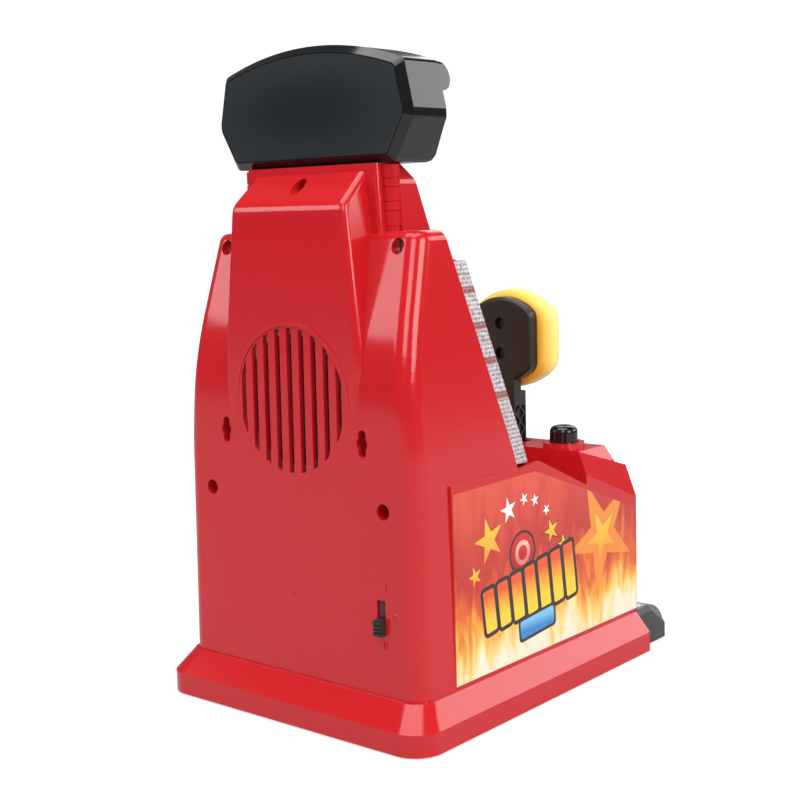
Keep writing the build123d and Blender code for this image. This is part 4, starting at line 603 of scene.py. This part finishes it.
def make_foam_pad():
    """Soft crowned pad, swollen by a short cloth run and hollow behind for its backing plate."""
    pad_low, pad_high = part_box("foam_pad")
    middle = (pad_low + pad_high) / 2
    size = pad_high - pad_low
    deselect()
    source = nodes["foam_pad"].data.copy()
    pad = bpy.data.objects.new("foam_punch_pad", source)
    bpy.context.scene.collection.objects.link(pad)
    pad.select_set(True)
    bpy.context.view_layer.objects.active = pad
    bpy.ops.object.mode_set(mode="EDIT")
    bpy.ops.mesh.select_all(action="SELECT")
    bpy.ops.mesh.remove_doubles(threshold=0.00001)
    bpy.ops.object.mode_set(mode="OBJECT")
    shrink = 0.985
    cheek_curve = 0.10
    for vertex in source.vertices:
        vertex.co = middle + (vertex.co - middle) * shrink
        vertex.co.y = min(vertex.co.y + (1 - shrink) * size.y / 2, pad_high.y)
    apply_modifier(pad, "REMESH", mode="VOXEL", voxel_size=0.0016)
    for vertex in pad.data.vertices:
        height = (vertex.co.z - middle.z) / (size.z / 2)
        vertex.co.x = middle.x + (vertex.co.x - middle.x) * (1 - cheek_curve * height**2)
    rest = [vertex.co.copy() for vertex in pad.data.vertices]
    cloth = pad.modifiers.new("Swell", "CLOTH")
    cloth.settings.use_pressure = True
    cloth.settings.uniform_pressure_force = 4.0
    cloth.settings.effector_weights.gravity = 0.0
    cloth.settings.tension_stiffness = 40.0
    cloth.settings.compression_stiffness = 40.0
    cloth.settings.bending_stiffness = 8.0
    cloth.settings.quality = 5
    scene = bpy.context.scene
    for step in range(1, 13):
        scene.frame_set(step)
    swollen = pad.evaluated_get(bpy.context.evaluated_depsgraph_get()).to_mesh()
    moved = [v.co.copy() for v in swollen.vertices]
    pad.modifiers.clear()
    most = 0.0012
    for vertex, start, end in zip(pad.data.vertices, rest, moved):
        shift = end - start
        if shift.length > most:
            shift *= most / shift.length
        vertex.co = start + shift
        vertex.co.y = min(vertex.co.y, pad_high.y)
    scene.frame_set(1)
    apply_modifier(pad, "SMOOTH", factor=0.5, iterations=6)
    apply_modifier(pad, "SUBSURF", levels=1, render_levels=1)
    for polygon in pad.data.polygons:
        polygon.use_smooth = True
    finish_piece(pad, "arm", foam_material())
    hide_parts("foam_pad")
    return pad


make_foam_pad()


# ---- moulded marks and display -------------------------------------------------------------------
def rear_skin(x, z):
    """Y of the rear housing's outer skin behind (x, z)."""
    behind = Vector((x, rear_y + 0.05, z))
    found, place = nodes["rear_housing"].ray_cast(behind, Vector((0, -1, 0)))[:2]
    return place.y if found else rear_face


def mark_box(x, z, wide, high, turn=0.0, proud=0.0003):
    deselect()
    place = (x, rear_skin(x, z) + proud / 2, z)
    bpy.ops.mesh.primitive_cube_add(size=1.0, location=place, rotation=(0, turn, 0))
    bpy.context.object.scale = (wide, proud, high)
    return bpy.context.object


def mark_ring(x, z, radius, thick, stretch=1.0):
    deselect()
    bpy.ops.mesh.primitive_torus_add(major_radius=radius, minor_radius=thick, major_segments=40,
                                     minor_segments=10, location=(x, rear_skin(x, z), z),
                                     rotation=(math.pi / 2, 0, 0))
    bpy.context.object.scale = (1.0, stretch, 1.0)
    return bpy.context.object


def join(pieces, name):
    for piece in pieces:
        settle(piece)
    deselect()
    for piece in pieces:
        piece.select_set(True)
    bpy.context.view_layer.objects.active = pieces[0]
    bpy.ops.object.join()
    return new_piece(name)


def make_rear_marks():
    """Gate scars on the centre line and the slide switch's raised position marks."""
    pieces = [mark_ring(0, 0.186, 0.0010, 0.00022), mark_ring(0, 0.056, 0.0010, 0.00022),
              mark_box(-0.0516, 0.0658, 0.0006, 0.0034),
              mark_ring(-0.0565, 0.0536, 0.0012, 0.0003, 1.4),
              mark_box(-0.0500, 0.0416, 0.0006, 0.0034), mark_box(-0.0516, 0.0416, 0.0006, 0.0034)]
    finish_piece(join(pieces, "rear_marks"), "body", red_plastic)


def lit_material():
    material, tree, shader = start_material("Lit segment")
    glow = noise(tree, object_place(tree), 300.0)
    feed(tree, shader.inputs["Base Color"], mix_colour(tree, glow, (0.7, 0.05, 0.03, 1), (0.8, 0.09, 0.05, 1)))
    shader.inputs["Roughness"].default_value = 0.4
    shader.inputs["Emission Color"].default_value = (1.0, 0.06, 0.03, 1)
    shader.inputs["Emission Strength"].default_value = 2.5
    return material


def make_digits():
    """Three seven-bar digits, all bars lit, on the front of the display module."""
    module_low, module_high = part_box("display_module")
    middle = (module_low + module_high) / 2
    tall, wide, bar = 0.0118, 0.0070, 0.0012
    pieces = []
    for count in (-1, 0, 1):
        centre = middle.x + count * 0.0135
        level = [(centre, middle.z + step * tall / 2, wide - bar, bar) for step in (-1, 0, 1)]
        upright = [(centre + side * wide / 2, middle.z + half * tall / 4, bar, tall / 2 - bar)
                   for side in (-1, 1) for half in (-1, 1)]
        for x, z, across, high_side in level + upright:
            deselect()
            bpy.ops.mesh.primitive_cube_add(size=1.0, location=(x, module_low.y - 0.0002, z))
            bpy.context.object.scale = (across, 0.0004, high_side)
            pieces.append(bpy.context.object)
    finish_piece(join(pieces, "display_digits"), "body", lit_material())


make_rear_marks()
make_digits()


# ---- studio --------------------------------------------------------------------------------------
def floor_material():
    material, tree, shader = start_material("Pale floor")
    shader.inputs["Base Color"].default_value = (0.42, 0.42, 0.42, 1)
    shader.inputs["Roughness"].default_value = 0.9
    shader.inputs["Specular IOR Level"].default_value = 0.1
    shader.inputs["Emission Color"].default_value = (1, 1, 1, 1)
    reach = node(tree, "ShaderNodeVectorMath", operation="LENGTH")
    feed(tree, reach.inputs[0], object_place(tree))
    away = ramp(tree, maths(tree, "DIVIDE", reach.outputs["Value"], 1.6, clamp=True),
                [(0.1, (0.46, 0.46, 0.46, 1)), (0.6, (0.8, 0.8, 0.8, 1))], "EASE")
    path = node(tree, "ShaderNodeLightPath")
    feed(tree, shader.inputs["Emission Strength"],
         maths(tree, "MULTIPLY_ADD", path.outputs["Is Camera Ray"], away, 0.2))
    return material


def make_floor():
    deselect()
    bpy.ops.mesh.primitive_plane_add(size=24.0, location=(0, 0, 0))
    floor = new_piece("floor")
    settle(floor)
    floor.data.materials.append(floor_material())


def softbox(name, place, aim, width, height, power, colour=(1, 1, 1)):
    light = bpy.data.lights.new(name, "AREA")
    light.shape = "RECTANGLE"
    light.size = width
    light.size_y = height
    light.energy = power
    light.color = colour
    lamp = bpy.data.objects.new(name, light)
    bpy.context.scene.collection.objects.link(lamp)
    lamp.location = place
    lamp.rotation_euler = (Vector(aim) - Vector(place)).to_track_quat("-Z", "Y").to_euler()
    return lamp


def make_world():
    world = bpy.data.worlds.new("Studio")
    bpy.context.scene.world = world
    world.use_nodes = True
    tree = world.node_tree
    background = tree.nodes["Background"]
    background.inputs["Color"].default_value = (1, 1, 1, 1)
    path = node(tree, "ShaderNodeLightPath")
    strength = maths(tree, "MULTIPLY_ADD", path.outputs["Is Camera Ray"], 0.9, 0.14)
    feed(tree, background.inputs["Strength"], strength)


def make_camera():
    """Low camera behind the machine and to one side, with a slight roll."""
    turn, lift, roll = math.radians(220.38), math.radians(7.58), math.radians(-1.67)
    back = Vector((math.sin(turn) * math.cos(lift), -math.cos(turn) * math.cos(lift), math.sin(lift)))
    right = (-back).cross(Vector((0, 0, 1))).normalized()
    up = right.cross(-back)
    x_axis = math.cos(roll) * right + math.sin(roll) * up
    y_axis = -math.sin(roll) * right + math.cos(roll) * up
    data = bpy.data.cameras.new("camera")
    data.lens = 63.44
    data.sensor_width = 36.0
    data.clip_start = 0.01
    data.clip_end = 50.0
    camera = bpy.data.objects.new("camera", data)
    bpy.context.scene.collection.objects.link(camera)
    turn_matrix = Matrix((x_axis, y_axis, back)).transposed()
    place = Vector((-0.42022, rear_y + 0.4102, 0.21766))
    camera.matrix_world = Matrix.Translation(place) @ turn_matrix.to_4x4()
    bpy.context.scene.camera = camera


make_floor()
make_world()
softbox("overhead", (0.0, 0.35, 1.5), (0, 0, 0.1), 1.5, 1.3, 22)
softbox("behind left", (-1.1, 1.9, 1.3), (0, 0, 0.15), 1.0, 1.0, 15)
softbox("behind right", (1.5, 1.6, 1.1), (0, 0, 0.15), 1.5, 0.7, 12)
softbox("side", (-1.5, -1.9, 1.05), (0, 0, 0.12), 1.8, 1.0, 20)
softbox("side fill", (-1.9, 0.2, 0.9), (0, 0, 0.15), 1.0, 1.0, 19)
softbox("front", (0.5, -1.6, 1.0), (0, 0, 0.15), 1.2, 1.0, 8)
make_camera()
bpy.context.scene.view_settings.view_transform = "Standard"
